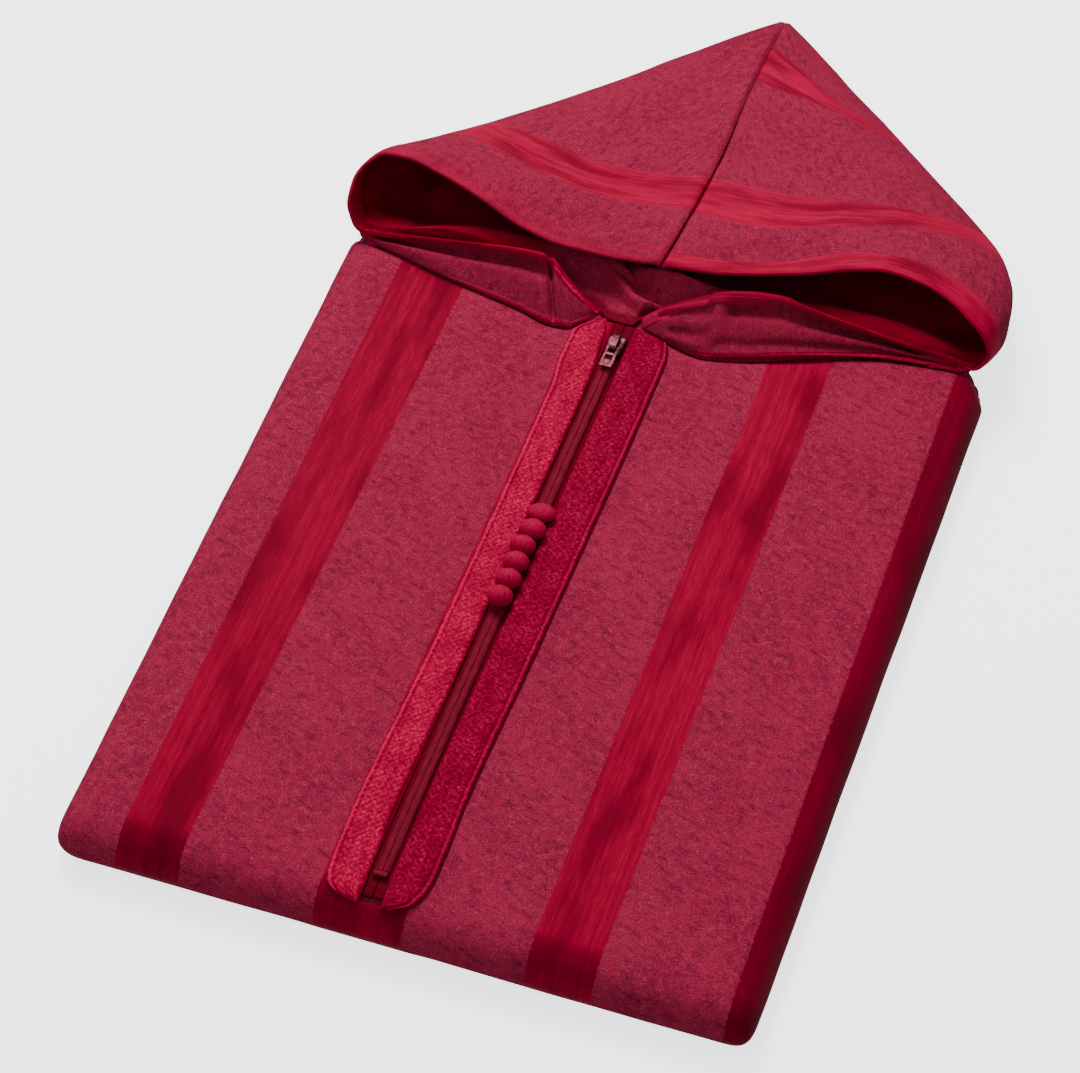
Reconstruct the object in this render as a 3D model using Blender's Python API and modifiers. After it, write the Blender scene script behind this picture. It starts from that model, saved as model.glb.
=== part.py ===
"""A hooded striped robe, folded flat, with its pointed hood laid back above the shoulders.

Metres, +Z up. The folded bundle lies on Z = 0. While the shapes are made, Y = 0 is the bottom fold
and X = 0 the bundle's middle. At the end everything moves so that the origin is the middle of the
whole object, on the surface it lies on.
"""

import math

import bmesh
import bpy
import numpy as np
from mathutils import Matrix, Vector

MM = 0.001

# The folded bundle
LENGTH = 390 * MM
HEM_HALF_WIDTH = 155.5 * MM
SHOULDER_HALF_WIDTH = 165 * MM
BUNDLE_HEIGHT = 26.7 * MM
CROWN = 1.2 * MM
CLOTH = 2 * MM
SEAM_GAP = 0.3 * MM

# How the cloth rolls over the side folds and the bottom fold
CORNER_RADIUS = 20 * MM
CORNER_SQUARENESS = {"left": 2.4, "right": 4.5}
EDGE_ROLL = (
    # inset from the outline in mm, share of the bundle's height
    (20.0, 1.000),
    (14.5, 0.985),
    (9.5, 0.930),
    (5.2, 0.830),
    (2.2, 0.690),
    (0.5, 0.540),
    (0.0, 0.420),
    (1.0, 0.280),
    (3.2, 0.140),
    (6.2, 0.045),
    (9.6, 0.004),
    (12.8, 0.000),
    (16.0, 0.000),
)

# Hidden layers: the folded edges that show at the shoulder end
LAYERS = 5
LAYER_NOSE = 2.2 * MM
LAYERS_END = 391 * MM
LAYERS_CORNER = {"left": 157 * MM, "right": 152 * MM}
LAYERS_CORNER_SLOPE = 0.8

# Front opening
ZIP_X = -11.8 * MM
SLIT_HALF_WIDTH = 5.2 * MM
SLIT_ROLL_ROW = 2
TAPE_THICKNESS = 1.2 * MM
TAPE_MIDDLE_GAP = 0.4 * MM
COIL_WIDTH = 2.7 * MM
COIL_HEIGHT = 2.2 * MM
COIL_DOME = 0.5 * MM
COIL_START = 23.5 * MM
STOP_SIZE = (6.4 * MM, 2.6 * MM, 2.4 * MM)
SLIDER_SIZE = (9.4 * MM, 12.6 * MM, 3.2 * MM)
SLIDER_Y = 345.4 * MM
BRAID_THICKNESS = 1.9 * MM
BRAID_DOME = 0.6 * MM

# Slider bridge and pull tab
BRIDGE_WIDTH = 3.2 * MM
BRIDGE_LENGTH = 10.6 * MM
BRIDGE_RISE = 3.6 * MM
BRIDGE_THICKNESS = 1.0 * MM
TAB_WIDTH = 6.0 * MM
TAB_RAIL = 1.0 * MM
TAB_THICKNESS = 0.9 * MM
TAB_RUNGS = (
    # lower and upper end of each rung below the hinge pin, in mm
    (-0.5, 0.5),
    (4.2, 5.4),
    (8.6, 13.2),
)

LEFT_BRAID = (
    # outer x, outer y, inner x, inner y in mm
    (-27.0, 9.0, -17.4, 7.4),
    (-32.0, 11.5, -16.6, 11.0),
    (-33.5, 14.5, -16.4, 14.5),
    (-34.3, 20.0, -16.6, 20.0),
    (-35.0, 30.0, -17.0, 30.0),
    (-35.5, 55.0, -18.0, 55.0),
    (-33.5, 135.0, -16.8, 135.0),
    (-33.2, 200.0, -16.8, 200.0),
    (-33.5, 306.0, -16.6, 306.0),
    (-35.6, 332.0, -17.6, 334.0),
    (-35.5, 349.0, -19.0, 351.0),
    (-29.6, 357.6, -20.5, 360.4),
)
RIGHT_BRAID = (
    # inner x, inner y, outer x, outer y in mm
    (-6.4, 7.0, -1.5, 8.2),
    (-6.8, 9.5, 2.0, 9.5),
    (-6.8, 11.5, 6.5, 11.5),
    (-6.9, 14.5, 8.6, 14.5),
    (-7.0, 20.0, 10.4, 20.0),
    (-7.0, 27.0, 11.2, 27.0),
    (-7.0, 38.0, 11.2, 40.0),
    (-7.2, 62.0, 10.6, 66.0),
    (-6.8, 141.0, 12.5, 143.0),
    (-6.6, 230.0, 14.0, 232.0),
    (-6.0, 315.0, 15.0, 318.0),
    (-6.6, 345.0, 15.0, 342.0),
    (-6.0, 359.0, 13.0, 353.0),
)
KNOTS = (
    # x, y, width, length, height in mm
    (-10.2, 229.2, 12.8, 10.4, 6.8),
    (-10.8, 217.9, 12.4, 10.8, 8.4),
    (-12.0, 207.3, 12.0, 9.8, 8.8),
    (-11.6, 196.8, 12.0, 10.4, 9.0),
    (-11.6, 186.2, 12.0, 10.2, 9.0),
    (-11.9, 175.4, 11.6, 10.6, 9.2),
)

LEFT_HOOD_FRONT = (
    # neck seam x and y, then rim x, y and height in mm, from the shoulder to the zip
    (-154.0, 379.3, -155.2, 381.0, 30.2),
    (-145.0, 376.6, -147.5, 381.0, 32.0),
    (-133.0, 373.4, -135.0, 381.0, 34.0),
    (-109.0, 366.3, -113.0, 381.5, 38.0),
    (-87.0, 361.3, -88.0, 381.5, 42.0),
    (-64.0, 355.7, -68.0, 381.0, 45.0),
    (-47.0, 350.8, -57.0, 379.5, 46.0),
    (-37.5, 351.5, -44.0, 372.5, 41.0),
    (-31.0, 358.5, -33.0, 367.0, 35.5),
    (-27.8, 362.5, -23.5, 364.5, 31.0),
)
RIGHT_HOOD_FRONT = (
    # neck seam x and y, then rim x, y and height in mm, from the zip to the shoulder
    (-3.5, 362.0, -5.0, 367.5, 31.0),
    (2.5, 360.0, 3.0, 371.5, 36.0),
    (9.0, 357.5, 12.0, 375.5, 39.5),
    (18.5, 354.5, 21.0, 379.5, 42.0),
    (29.0, 352.3, 31.0, 384.0, 44.0),
    (48.0, 356.0, 48.0, 388.5, 45.0),
    (62.0, 361.0, 60.0, 389.5, 45.0),
    (75.0, 366.4, 72.0, 388.0, 43.5),
    (98.0, 376.0, 97.0, 386.5, 40.0),
    (116.0, 381.5, 116.0, 386.8, 36.0),
    (135.0, 383.8, 136.0, 388.0, 32.0),
    (146.0, 384.8, 147.3, 388.2, 30.4),
    (151.6, 385.2, 152.6, 387.8, 29.2),
)
SHOULDER_SLOPE = (
    # x and y in mm of the front's end beyond the neck seam, first three points at the left shoulder
    (-165.0, 385.5),
    (-159.5, 383.0),
    (-157.5, 381.2),
    (157.0, 383.0),
    (161.5, 379.8),
    (166.0, 377.0),
)
LEFT_MOUTH_EDGE = (
    # x, y and height in mm of the hood's front edge, from the centre seam round the left loop
    (-2.0, 387.0, 49.0),
    (-26.0, 385.0, 49.0),
    (-52.0, 384.5, 50.0),
    (-75.0, 388.5, 52.5),
    (-98.0, 397.0, 56.0),
    (-122.0, 405.0, 59.0),
    (-140.0, 409.5, 60.5),
    (-153.0, 410.0, 60.0),
    (-161.0, 402.5, 57.5),
    (-165.0, 393.5, 52.0),
    (-165.5, 385.5, 44.0),
    (-163.0, 382.5, 36.0),
    (-160.6, 381.4, 31.2),
    (-157.2, 380.8, 28.8),
)
RIGHT_MOUTH_EDGE = (
    # x, y and height in mm, from the centre seam round the right loop
    (-2.0, 387.0, 49.0),
    (18.0, 389.5, 49.0),
    (40.0, 394.0, 49.5),
    (58.0, 399.0, 50.5),
    (74.0, 403.0, 53.0),
    (90.0, 406.5, 56.5),
    (105.0, 408.5, 58.5),
    (123.0, 406.0, 58.5),
    (140.0, 399.5, 56.5),
    (151.5, 393.5, 52.0),
    (160.0, 390.5, 44.0),
    (162.5, 390.0, 36.0),
    (160.4, 388.8, 32.0),
    (158.2, 387.2, 29.2),
    (154.6, 386.0, 28.8),
)
HOOD_STATIONS = (
    # y, left fold x, seam x, right fold x, seam height, shoulder-ridge height, foot height,
    # tuck of the foot, inset of the cloth below, height of the cloth below, all in mm
    (387.0, -166.0, -2.0, 163.0, 49.0, 60.0, 28.8, 8.8, 9.3, 24.7),
    (400.0, -165.0, -1.0, 166.2, 48.5, 60.0, 22.5, 9.0, 11.4, 22.5),
    (414.0, -163.0, 0.0, 166.6, 47.5, 58.5, 11.5, 9.0, 11.4, 11.5),
    (428.0, -159.2, 0.5, 165.8, 46.0, 55.5, 3.0, 8.5, 10.9, 3.0),
    (444.0, -150.8, 1.0, 163.3, 43.5, 51.5, 0.0, 8.0, 10.4, 0.0),
    (464.0, -137.8, 1.0, 155.6, 40.0, 46.0, 0.0, 7.5, 9.9, 0.0),
    (488.0, -121.0, 0.5, 138.5, 35.0, 39.0, 0.0, 7.0, 9.4, 0.0),
    (514.0, -102.5, -1.0, 115.8, 29.5, 31.5, 0.0, 6.0, 8.4, 0.0),
    (540.0, -83.9, -3.0, 93.0, 23.5, 24.0, 0.0, 5.0, 7.4, 0.0),
    (566.0, -65.3, -4.5, 68.8, 17.5, 17.5, 0.0, 4.0, 6.5, 0.0),
    (590.0, -47.6, -5.5, 45.3, 12.5, 12.5, 0.0, 2.0, 4.7, 0.0),
    (604.0, -36.4, -6.0, 31.2, 9.6, 9.6, 2.6, 0.0, 4.0, 0.0),
    (614.0, -28.6, -5.8, 21.4, 7.8, 7.8, 2.6, 0.0, 1.0, 0.0),
    (626.0, -18.4, -5.5, 9.3, 6.0, 6.0, 2.9, 0.0, 0.0, 0.0),
    (636.0, -8.0, -5.2, -2.4, 4.9, 4.9, 4.3, 0.0, 0.0, 0.0),
)
HOOD_UNDER_FRONT = (
    # x and y in mm of its front border, on the bundle behind the hood's front pieces
    (-157.4, 383.2),
    (-153.0, 385.0),
    (-141.0, 386.5),
    (-100.0, 385.0),
    (-60.0, 378.0),
    (-45.0, 371.5),
    (-28.0, 369.0),
    (-2.0, 370.5),
    (20.0, 376.0),
    (50.0, 385.0),
    (90.0, 388.0),
    (152.0, 389.6),
    (156.2, 385.2),
)
SHOULDER_ROW_Y = 391 * MM
SHOULDER_ROWS = (
    # share of the way from the front border to the bundle's end, left and right half width in mm
    (0.0, 157.2, 156.0),
    (0.5, 155.4, 155.0),
    (1.0, 153.8, 153.6),
)
RIDGE_SHARE = 0.74
SECTION_SQUARENESS = 3.0
WIDEST_SHARE = 0.42

COLOURS = {
    # red, green, blue, roughness, metallic
    "cloth": (0.42, 0.035, 0.085, 0.85, 0.0),
    "layers": (0.30, 0.025, 0.060, 0.90, 0.0),
    "braid": (0.55, 0.015, 0.050, 0.70, 0.0),
    "tape": (0.16, 0.008, 0.020, 0.80, 0.0),
    "coil": (0.28, 0.015, 0.035, 0.45, 0.0),
    "metal": (0.55, 0.20, 0.26, 0.35, 0.8),
    "knot": (0.50, 0.015, 0.050, 0.65, 0.0),
}


def clear_scene():
    for obj in list(bpy.data.objects):
        bpy.data.objects.remove(obj)


def new_collection(name):
    collection = bpy.data.collections.new(name)
    bpy.context.scene.collection.children.link(collection)
    return collection


def material(name, kind):
    red, green, blue, roughness, metallic = COLOURS[kind]
    made = bpy.data.materials.new(name)
    made.use_nodes = True
    shader = made.node_tree.nodes["Principled BSDF"]
    shader.inputs["Base Color"].default_value = (red, green, blue, 1)
    shader.inputs["Roughness"].default_value = roughness
    shader.inputs["Metallic"].default_value = metallic
    return made


def new_object(name, mesh, kind, collection):
    obj = bpy.data.objects.new(name, mesh)
    mesh.materials.append(material(name, kind))
    mesh.shade_smooth()
    mesh.set_sharp_from_angle(angle=math.radians(40))
    collection.objects.link(obj)
    return obj


def smooth_step(value):
    value = min(1.0, max(0.0, value))
    return value * value * (3 - 2 * value)


def column(table, index):
    return [row[index] * MM for row in table]


def half_width(y):
    """Half of the bundle's width at a distance y from the bottom fold."""
    return HEM_HALF_WIDTH + (SHOULDER_HALF_WIDTH - HEM_HALF_WIDTH) * y / LENGTH


def crown(x, y):
    """How far the top of the bundle swells above its edges."""
    flat = half_width(y) - CORNER_RADIUS
    across = max(0.0, 1 - (x / flat) ** 2)
    along = smooth_step((y - CORNER_RADIUS) / (4 * CORNER_RADIUS))
    return CROWN * across * along


def front_height(x, y):
    """Height of the garment's front, over the bottom fold's roll too."""
    insets = column(EDGE_ROLL[:7], 0)[::-1]
    shares = [row[1] for row in EDGE_ROLL[:7]][::-1]
    share = float(np.interp(y, insets, shares))
    return BUNDLE_HEIGHT * share + crown(x, y)


def above_front(x, y, lift):
    """A point moved out from the garment's front, square to it."""
    reach = 1.5 * MM
    slope = (front_height(x, y + reach) - front_height(x, y - reach)) / (2 * reach)
    square = Vector((0, -slope, 1)).normalized()
    return Vector((x, y, front_height(x, y))) + lift * square


def neckline(x):
    """Distance from the bottom fold to the neck seam."""
    left = tuple(row[:2] for row in LEFT_HOOD_FRONT)
    right = tuple(row[:2] for row in RIGHT_HOOD_FRONT)
    points = SHOULDER_SLOPE[:3] + left + right + SHOULDER_SLOPE[3:]
    return float(np.interp(x, [p[0] * MM for p in points], [p[1] * MM for p in points]))


def rounded_plan(x, y):
    """Moves a point near a bottom corner of the bundle's rectangle onto its rounded corner."""
    across = abs(x) - (half_width(y) - CORNER_RADIUS)
    along = CORNER_RADIUS - y
    if across <= 0 or along <= 0:
        return x, y
    power = CORNER_SQUARENESS["left" if x < 0 else "right"]
    shrink = max(across, along) / (across**power + along**power) ** (1 / power)
    side = math.copysign(1, x)
    return side * (abs(x) - across * (1 - shrink)), y + along * (1 - shrink)


def surface_mesh(name, rows, missing=lambda i, j: False):
    """An open surface through rows of points, facing the viewer who sees columns run right and rows run up."""
    mesh = bpy.data.meshes.new(name)
    shape = bmesh.new()
    corners = [[shape.verts.new(point) for point in row] for row in rows]
    for j in range(len(rows) - 1):
        for i in range(len(rows[0]) - 1):
            if not missing(i, j):
                shape.faces.new((corners[j][i], corners[j][i + 1], corners[j + 1][i + 1], corners[j + 1][i]))
    loose = [vertex for vertex in shape.verts if not vertex.link_faces]
    bmesh.ops.delete(shape, geom=loose, context="VERTS")
    shape.to_mesh(mesh)
    shape.free()
    return mesh


def cloth_wall(name, rows, thickness, kind, collection, missing=lambda i, j: False):
    """A wall of the given thickness behind an open surface."""
    obj = new_object(name, surface_mesh(name, rows, missing), kind, collection)
    solidify = obj.modifiers.new("Thickness", "SOLIDIFY")
    solidify.thickness = thickness
    solidify.offset = -1
    solidify.use_even_offset = True
    return obj


def flat_shares(table, start, end):
    """Shares of the way from start to end at which columns run, to pass through the neck seam's points."""
    inside = [x for x in column(table, 0) if start + 8 * MM < x < end - 3 * MM]
    return [0.0] + [(x - start) / (end - start) for x in inside] + [1.0]


def front_panel(collection):
    """The garment's front: its flat top, and the cloth that goes on round both side folds and the bottom."""
    last = len(EDGE_ROLL) - 1
    flat_there = half_width(LENGTH) - CORNER_RADIUS
    left_share = flat_shares(LEFT_HOOD_FRONT, -flat_there, ZIP_X - SLIT_HALF_WIDTH)
    right_share = flat_shares(RIGHT_HOOD_FRONT, ZIP_X + SLIT_HALF_WIDTH, flat_there)
    row_share = np.linspace(0, 1, 15)
    ring = [("left", level) for level in range(last, 0, -1)]
    inner = [("left flat", share) for share in left_share] + [("right flat", share) for share in right_share]
    columns = ring + inner + [("right", level) for level in range(1, last + 1)]
    slit_column = last + len(left_share) - 1

    def inset(level):
        return EDGE_ROLL[level][0] * MM

    def across(kind, value, y, flat):
        if kind == "left flat":
            return -flat + value * (ZIP_X - SLIT_HALF_WIDTH + flat)
        if kind == "right flat":
            return ZIP_X + SLIT_HALF_WIDTH + value * (flat - ZIP_X - SLIT_HALF_WIDTH)
        side = -1 if kind == "left" else 1
        return side * (half_width(y) - inset(value))

    def top_rows():
        for share in row_share:
            points = []
            for kind, value in columns:
                y = LENGTH
                for _ in range(3):
                    x = across(kind, value, y, half_width(y) - CORNER_RADIUS)
                    y = neckline(x) - 1.5 * SEAM_GAP
                y = CORNER_RADIUS + share * (y - CORNER_RADIUS)
                x = across(kind, value, y, half_width(y) - CORNER_RADIUS)
                level = value if kind in ("left", "right") else 0
                z = BUNDLE_HEIGHT * EDGE_ROLL[level][1] + crown(x, y)
                points.append((x, y, z))
            yield points

    def bottom_rows():
        for row_level in range(last, 0, -1):
            points = []
            for kind, value in columns:
                if kind in ("left", "right"):
                    level = max(row_level, value)
                    reach = CORNER_RADIUS - inset(level)
                    side = -1 if kind == "left" else 1
                    y = CORNER_RADIUS - reach * row_level / level
                    x = side * (half_width(y) - CORNER_RADIUS + reach * value / level)
                    x, y = rounded_plan(x, y)
                else:
                    level = row_level
                    y = inset(level)
                    x = across(kind, value, y, half_width(y) - CORNER_RADIUS)
                points.append((x, y, BUNDLE_HEIGHT * EDGE_ROLL[level][1]))
            yield points

    def slit(i, j):
        return i == slit_column and j >= last - SLIT_ROLL_ROW

    rows = list(bottom_rows()) + list(top_rows())
    return cloth_wall("front_panel", rows, CLOTH, "cloth", collection, slit)


def inner_roll():
    """The roll of the folds, moved in by the cloth and its gap: insets and heights of the hidden layers."""
    away = CLOTH + 2 * SEAM_GAP
    rolled = [(row[0] * MM, row[1] * BUNDLE_HEIGHT) for row in EDGE_ROLL[:-1]]
    levels = []
    for index, (inset, height) in enumerate(rolled):
        before = rolled[max(index - 1, 0)]
        after = rolled[min(index + 1, len(rolled) - 1)]
        run = Vector((before[0] - after[0], before[1] - after[1])).normalized()
        levels.append((inset + away * run.y, height - away * run.x))
    foot = EDGE_ROLL[-1][0] * MM + SEAM_GAP
    levels[0] = (rolled[0][0], rolled[0][1] - away)
    levels[-1] = (foot, away)
    return levels + [(foot, 0.0)]


def layer_nose(height):
    """How far the layers' end falls back at this height, between the rounded noses of the layers."""
    phase = (height / (BUNDLE_HEIGHT - CLOTH) * LAYERS) % 1
    return LAYER_NOSE * (1 - math.sqrt(max(0.0, 1 - (2 * phase - 1) ** 2)))


def split_levels(levels, step):
    """More heights between the levels, so that the end's layers show as noses."""
    finer = [levels[0]]
    for (inset_a, height_a), (inset_b, height_b) in zip(levels, levels[1:]):
        parts = max(1, math.ceil(abs(height_a - height_b) / step))
        for part in range(1, parts + 1):
            share = part / parts
            finer.append((inset_a + share * (inset_b - inset_a), height_a + share * (height_b - height_a)))
    return finer


def folded_layers(collection):
    """Back, sleeves and lower half, folded inside the front: one rounded solid, layered at its end."""
    levels = split_levels(inner_roll(), BUNDLE_HEIGHT / LAYERS / 4)
    edge_steps = [0.0, 0.018, 0.036, 0.06]
    shares_x = edge_steps + list(np.linspace(0.14, 0.86, 6)) + [1 - step for step in edge_steps[::-1]]
    shares_y = [0.0, 0.014, 0.028, 0.048] + list(np.linspace(0.12, 1, 8))
    shape = bmesh.new()
    corners = {}

    def place(i, j, k):
        inset, height = levels[k]
        x = (2 * shares_x[i] - 1) * (half_width(shares_y[j] * LAYERS_END) - inset)
        corner_start = LAYERS_CORNER["left" if x < 0 else "right"]
        end = LAYERS_END - LAYERS_CORNER_SLOPE * max(0.0, abs(x) - corner_start)
        end -= layer_nose(height) if j == len(shares_y) - 1 else LAYER_NOSE
        y = inset + shares_y[j] * (end - inset)
        x, y = rounded_plan(x, y)
        if k == 0:
            height += crown(x, y)
        return x, y, height

    def corner(i, j, k):
        if (i, j, k) not in corners:
            corners[i, j, k] = shape.verts.new(place(i, j, k))
        return corners[i, j, k]

    def side(steps_u, steps_v, index):
        for u in range(steps_u):
            for v in range(steps_v):
                shape.faces.new([corner(*index(u + du, v + dv)) for du, dv in ((0, 0), (1, 0), (1, 1), (0, 1))])

    wide, long, deep = len(shares_x) - 1, len(shares_y) - 1, len(levels) - 1
    side(wide, long, lambda u, v: (u, v, 0))
    side(wide, long, lambda u, v: (wide - u, v, deep))
    side(wide, deep, lambda u, v: (u, 0, deep - v))
    side(wide, deep, lambda u, v: (wide - u, long, deep - v))
    side(long, deep, lambda u, v: (0, long - u, deep - v))
    side(long, deep, lambda u, v: (wide, u, deep - v))
    mesh = bpy.data.meshes.new("folded_layers")
    shape.to_mesh(mesh)
    shape.free()
    return new_object("folded_layers", mesh, "layers", collection)


def strip_rows(table, steps_across, most_step, lift, dome=0.0):
    """Rows across a trim that lies on the front, from a table of its left and right edges."""
    reach = [0.0]
    for first, second in zip(table, table[1:]):
        reach.append(reach[-1] + abs(second[1] - first[1]) * MM)
    stations = []
    for start, end in zip(reach, reach[1:]):
        parts = max(1, math.ceil((end - start) / most_step))
        stations += [start + (end - start) * part / parts for part in range(parts)]
    stations.append(reach[-1])
    rows = []
    for station in stations:
        left_x, left_y, right_x, right_y = (float(np.interp(station, reach, column(table, c))) for c in range(4))
        row = []
        for step in range(steps_across + 1):
            share = step / steps_across
            x = left_x + share * (right_x - left_x)
            y = left_y + share * (right_y - left_y)
            raised = lift + dome * (1 - (2 * share - 1) ** 4)
            row.append(above_front(x, y, raised))
        rows.append(row)
    return rows


def straight_table(left_x, right_x, stations):
    return [(left_x / MM, y / MM, right_x / MM, y / MM) for y in stations]


def braids(collection):
    for name, table in (("braid_left", LEFT_BRAID), ("braid_right", RIGHT_BRAID)):
        rows = strip_rows(table, 4, 14 * MM, 1.5 * SEAM_GAP + BRAID_THICKNESS, BRAID_DOME)
        cloth_wall(name, rows, BRAID_THICKNESS, "braid", collection)


def tape_top():
    """Height of the zip tape's face over the face of the front: the tape lies in the slit."""
    return TAPE_THICKNESS - CLOTH


def zip_tapes_and_coils(collection):
    tape_start = EDGE_ROLL[SLIT_ROLL_ROW][0] * MM + 1.5 * MM
    tape_end = neckline(ZIP_X) - 2 * MM
    tape_stations = (tape_start, 14.5 * MM, 17 * MM, 20 * MM, 30 * MM, 60 * MM, tape_end)
    coil_end = SLIDER_Y - SLIDER_SIZE[1] / 2 - SEAM_GAP
    for name, side in (("left", -1), ("right", 1)):
        middle = ZIP_X + side * TAPE_MIDDLE_GAP / 2
        outside = ZIP_X + side * (SLIT_HALF_WIDTH - SEAM_GAP)
        table = straight_table(min(middle, outside), max(middle, outside), tape_stations)
        rows = strip_rows(table, 1, 24 * MM, tape_top())
        cloth_wall("zip_tape_" + name, rows, TAPE_THICKNESS, "tape", collection)
        coil_outside = middle + side * COIL_WIDTH
        table = straight_table(min(middle, coil_outside), max(middle, coil_outside), (COIL_START, 60 * MM, coil_end))
        coil_lift = tape_top() + SEAM_GAP + COIL_HEIGHT
        rows = strip_rows(table, 2, 24 * MM, coil_lift - COIL_DOME, COIL_DOME)
        cloth_wall("zip_coil_" + name, rows, COIL_HEIGHT - COIL_DOME, "coil", collection)


def bevelled_box(name, size, centre, width, kind, collection):
    bpy.ops.mesh.primitive_cube_add(size=1, location=centre)
    obj = bpy.context.object
    obj.name = name
    obj.data.name = name
    obj.data.transform(Matrix.Diagonal((*size, 1)))
    obj.data.materials.append(material(name, kind))
    for owner in list(obj.users_collection):
        owner.objects.unlink(obj)
    collection.objects.link(obj)
    bevel = obj.modifiers.new("Rounding", "BEVEL")
    bevel.width = width
    bevel.segments = 2
    return obj


def bottom_stop(collection):
    y = COIL_START - SEAM_GAP - STOP_SIZE[1] / 2
    base = front_height(ZIP_X, y) + tape_top() + SEAM_GAP
    centre = (ZIP_X, y, base + STOP_SIZE[2] / 2)
    bevelled_box("zip_bottom_stop", STOP_SIZE, centre, 0.6 * MM, "coil", collection)


def slider_top():
    return front_height(ZIP_X, SLIDER_Y) + tape_top() + SEAM_GAP + SLIDER_SIZE[2]


def hinge_pin():
    """The middle of the pull tab's top rung, under the front end of the slider's bridge."""
    y = SLIDER_Y - BRIDGE_LENGTH / 2 + 2.4 * MM
    return Vector((ZIP_X, y, slider_top() + SEAM_GAP + TAB_THICKNESS / 2))


def slider_bridge(collection):
    """The arch on the slider that holds the pull tab, its feet sunk in the slider's body."""
    rows = []
    for step in range(13):
        angle = math.pi * step / 12
        y = SLIDER_Y - BRIDGE_LENGTH / 2 * math.copysign(abs(math.cos(angle)) ** 0.5, math.cos(angle))
        z = slider_top() - 1.2 * MM + (BRIDGE_RISE + 1.2 * MM) * math.sin(angle) ** 0.5
        rows.append([(ZIP_X - BRIDGE_WIDTH / 2, y, z), (ZIP_X + BRIDGE_WIDTH / 2, y, z)])
    bridge = cloth_wall("slider_bridge", rows, BRIDGE_THICKNESS, "metal", collection)
    bridge.hide_render = True
    bridge.display_type = "WIRE"
    return bridge


def slider(collection, cutters):
    centre = (ZIP_X, SLIDER_Y, slider_top() - SLIDER_SIZE[2] / 2)
    body = bevelled_box("zip_slider", SLIDER_SIZE, centre, 1.0 * MM, "metal", collection)
    for vertex in body.data.vertices:
        if vertex.co.y < 0:
            vertex.co.x *= 0.8
    joined = body.modifiers.new("Bridge", "BOOLEAN")
    joined.operation = "UNION"
    joined.object = slider_bridge(cutters)


def pull_tab(collection):
    """A ladder-shaped tab whose top rung is the pin it turns on. Its origin is on that pin's axis."""
    rails = (-TAB_WIDTH / 2, -TAB_WIDTH / 2 + TAB_RAIL, TAB_WIDTH / 2 - TAB_RAIL, TAB_WIDTH / 2)
    ends = sorted(-end * MM for rung in TAB_RUNGS for end in rung)
    rows = [[(x, y, TAB_THICKNESS / 2) for x in rails] for y in ends]
    tab = cloth_wall("pull_tab", rows, TAB_THICKNESS, "metal", collection, lambda i, j: i == 1 and j % 2 == 1)
    tab.location = hinge_pin()


def knots(collection):
    for index, (x, y, width, length, height) in enumerate(KNOTS):
        coil_top = front_height(x * MM, y * MM) + tape_top() + SEAM_GAP + COIL_HEIGHT
        bpy.ops.mesh.primitive_uv_sphere_add(segments=14, ring_count=9, radius=1)
        knot = bpy.context.object
        knot.name = f"knot_{index + 1}"
        knot.data.name = knot.name
        knot.data.transform(Matrix.Diagonal((width * MM / 2, length * MM / 2, height * MM / 2, 1)))
        knot.data.materials.append(material(knot.name, "knot"))
        knot.data.shade_smooth()
        for owner in list(knot.users_collection):
            owner.objects.unlink(knot)
        collection.objects.link(knot)
        knot.location = (x * MM, y * MM, coil_top + SEAM_GAP + height * MM / 2)


def hood_front(name, table, collection):
    """The hood's front end on one side: it rises from the neck seam to its open rim."""
    shares = (0.0, 0.18, 0.4, 0.62, 0.82, 1.0)
    stations = np.linspace(0, len(table) - 1, 2 * len(table) - 1)
    rows = []
    for share in shares:
        row = []
        for station in stations:
            values = [float(np.interp(station, range(len(table)), column(table, c))) for c in range(5)]
            seam_x, seam_y, rim_x, rim_y, rim_z = values
            seam_z = front_height(seam_x, seam_y)
            swell = math.sin(math.pi * share) * min(1.0, (rim_z - seam_z) / (12 * MM))
            x = seam_x + share * (rim_x - seam_x)
            y = seam_y + share * (rim_y - seam_y) - 1.6 * MM * swell
            z = seam_z + share * (rim_z - seam_z) + 0.8 * MM * swell
            row.append((x, y, z))
        rows.append(row)
    cloth_wall(name, rows, CLOTH, "cloth", collection)


def resampled(points, shares):
    """Points at the given shares of a polyline's length."""
    points = np.array(points, float)
    steps = np.linalg.norm(np.diff(points, axis=0), axis=1)
    reach = np.concatenate([[0], np.cumsum(steps)]) / steps.sum()
    return np.array([[np.interp(share, reach, points[:, axis]) for axis in range(3)] for share in shares])


def station(y, *indexes):
    """Values of the hood's table at a distance y, in metres."""
    ys = column(HOOD_STATIONS, 0)
    return [float(np.interp(y, ys, column(HOOD_STATIONS, index))) for index in indexes]


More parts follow.
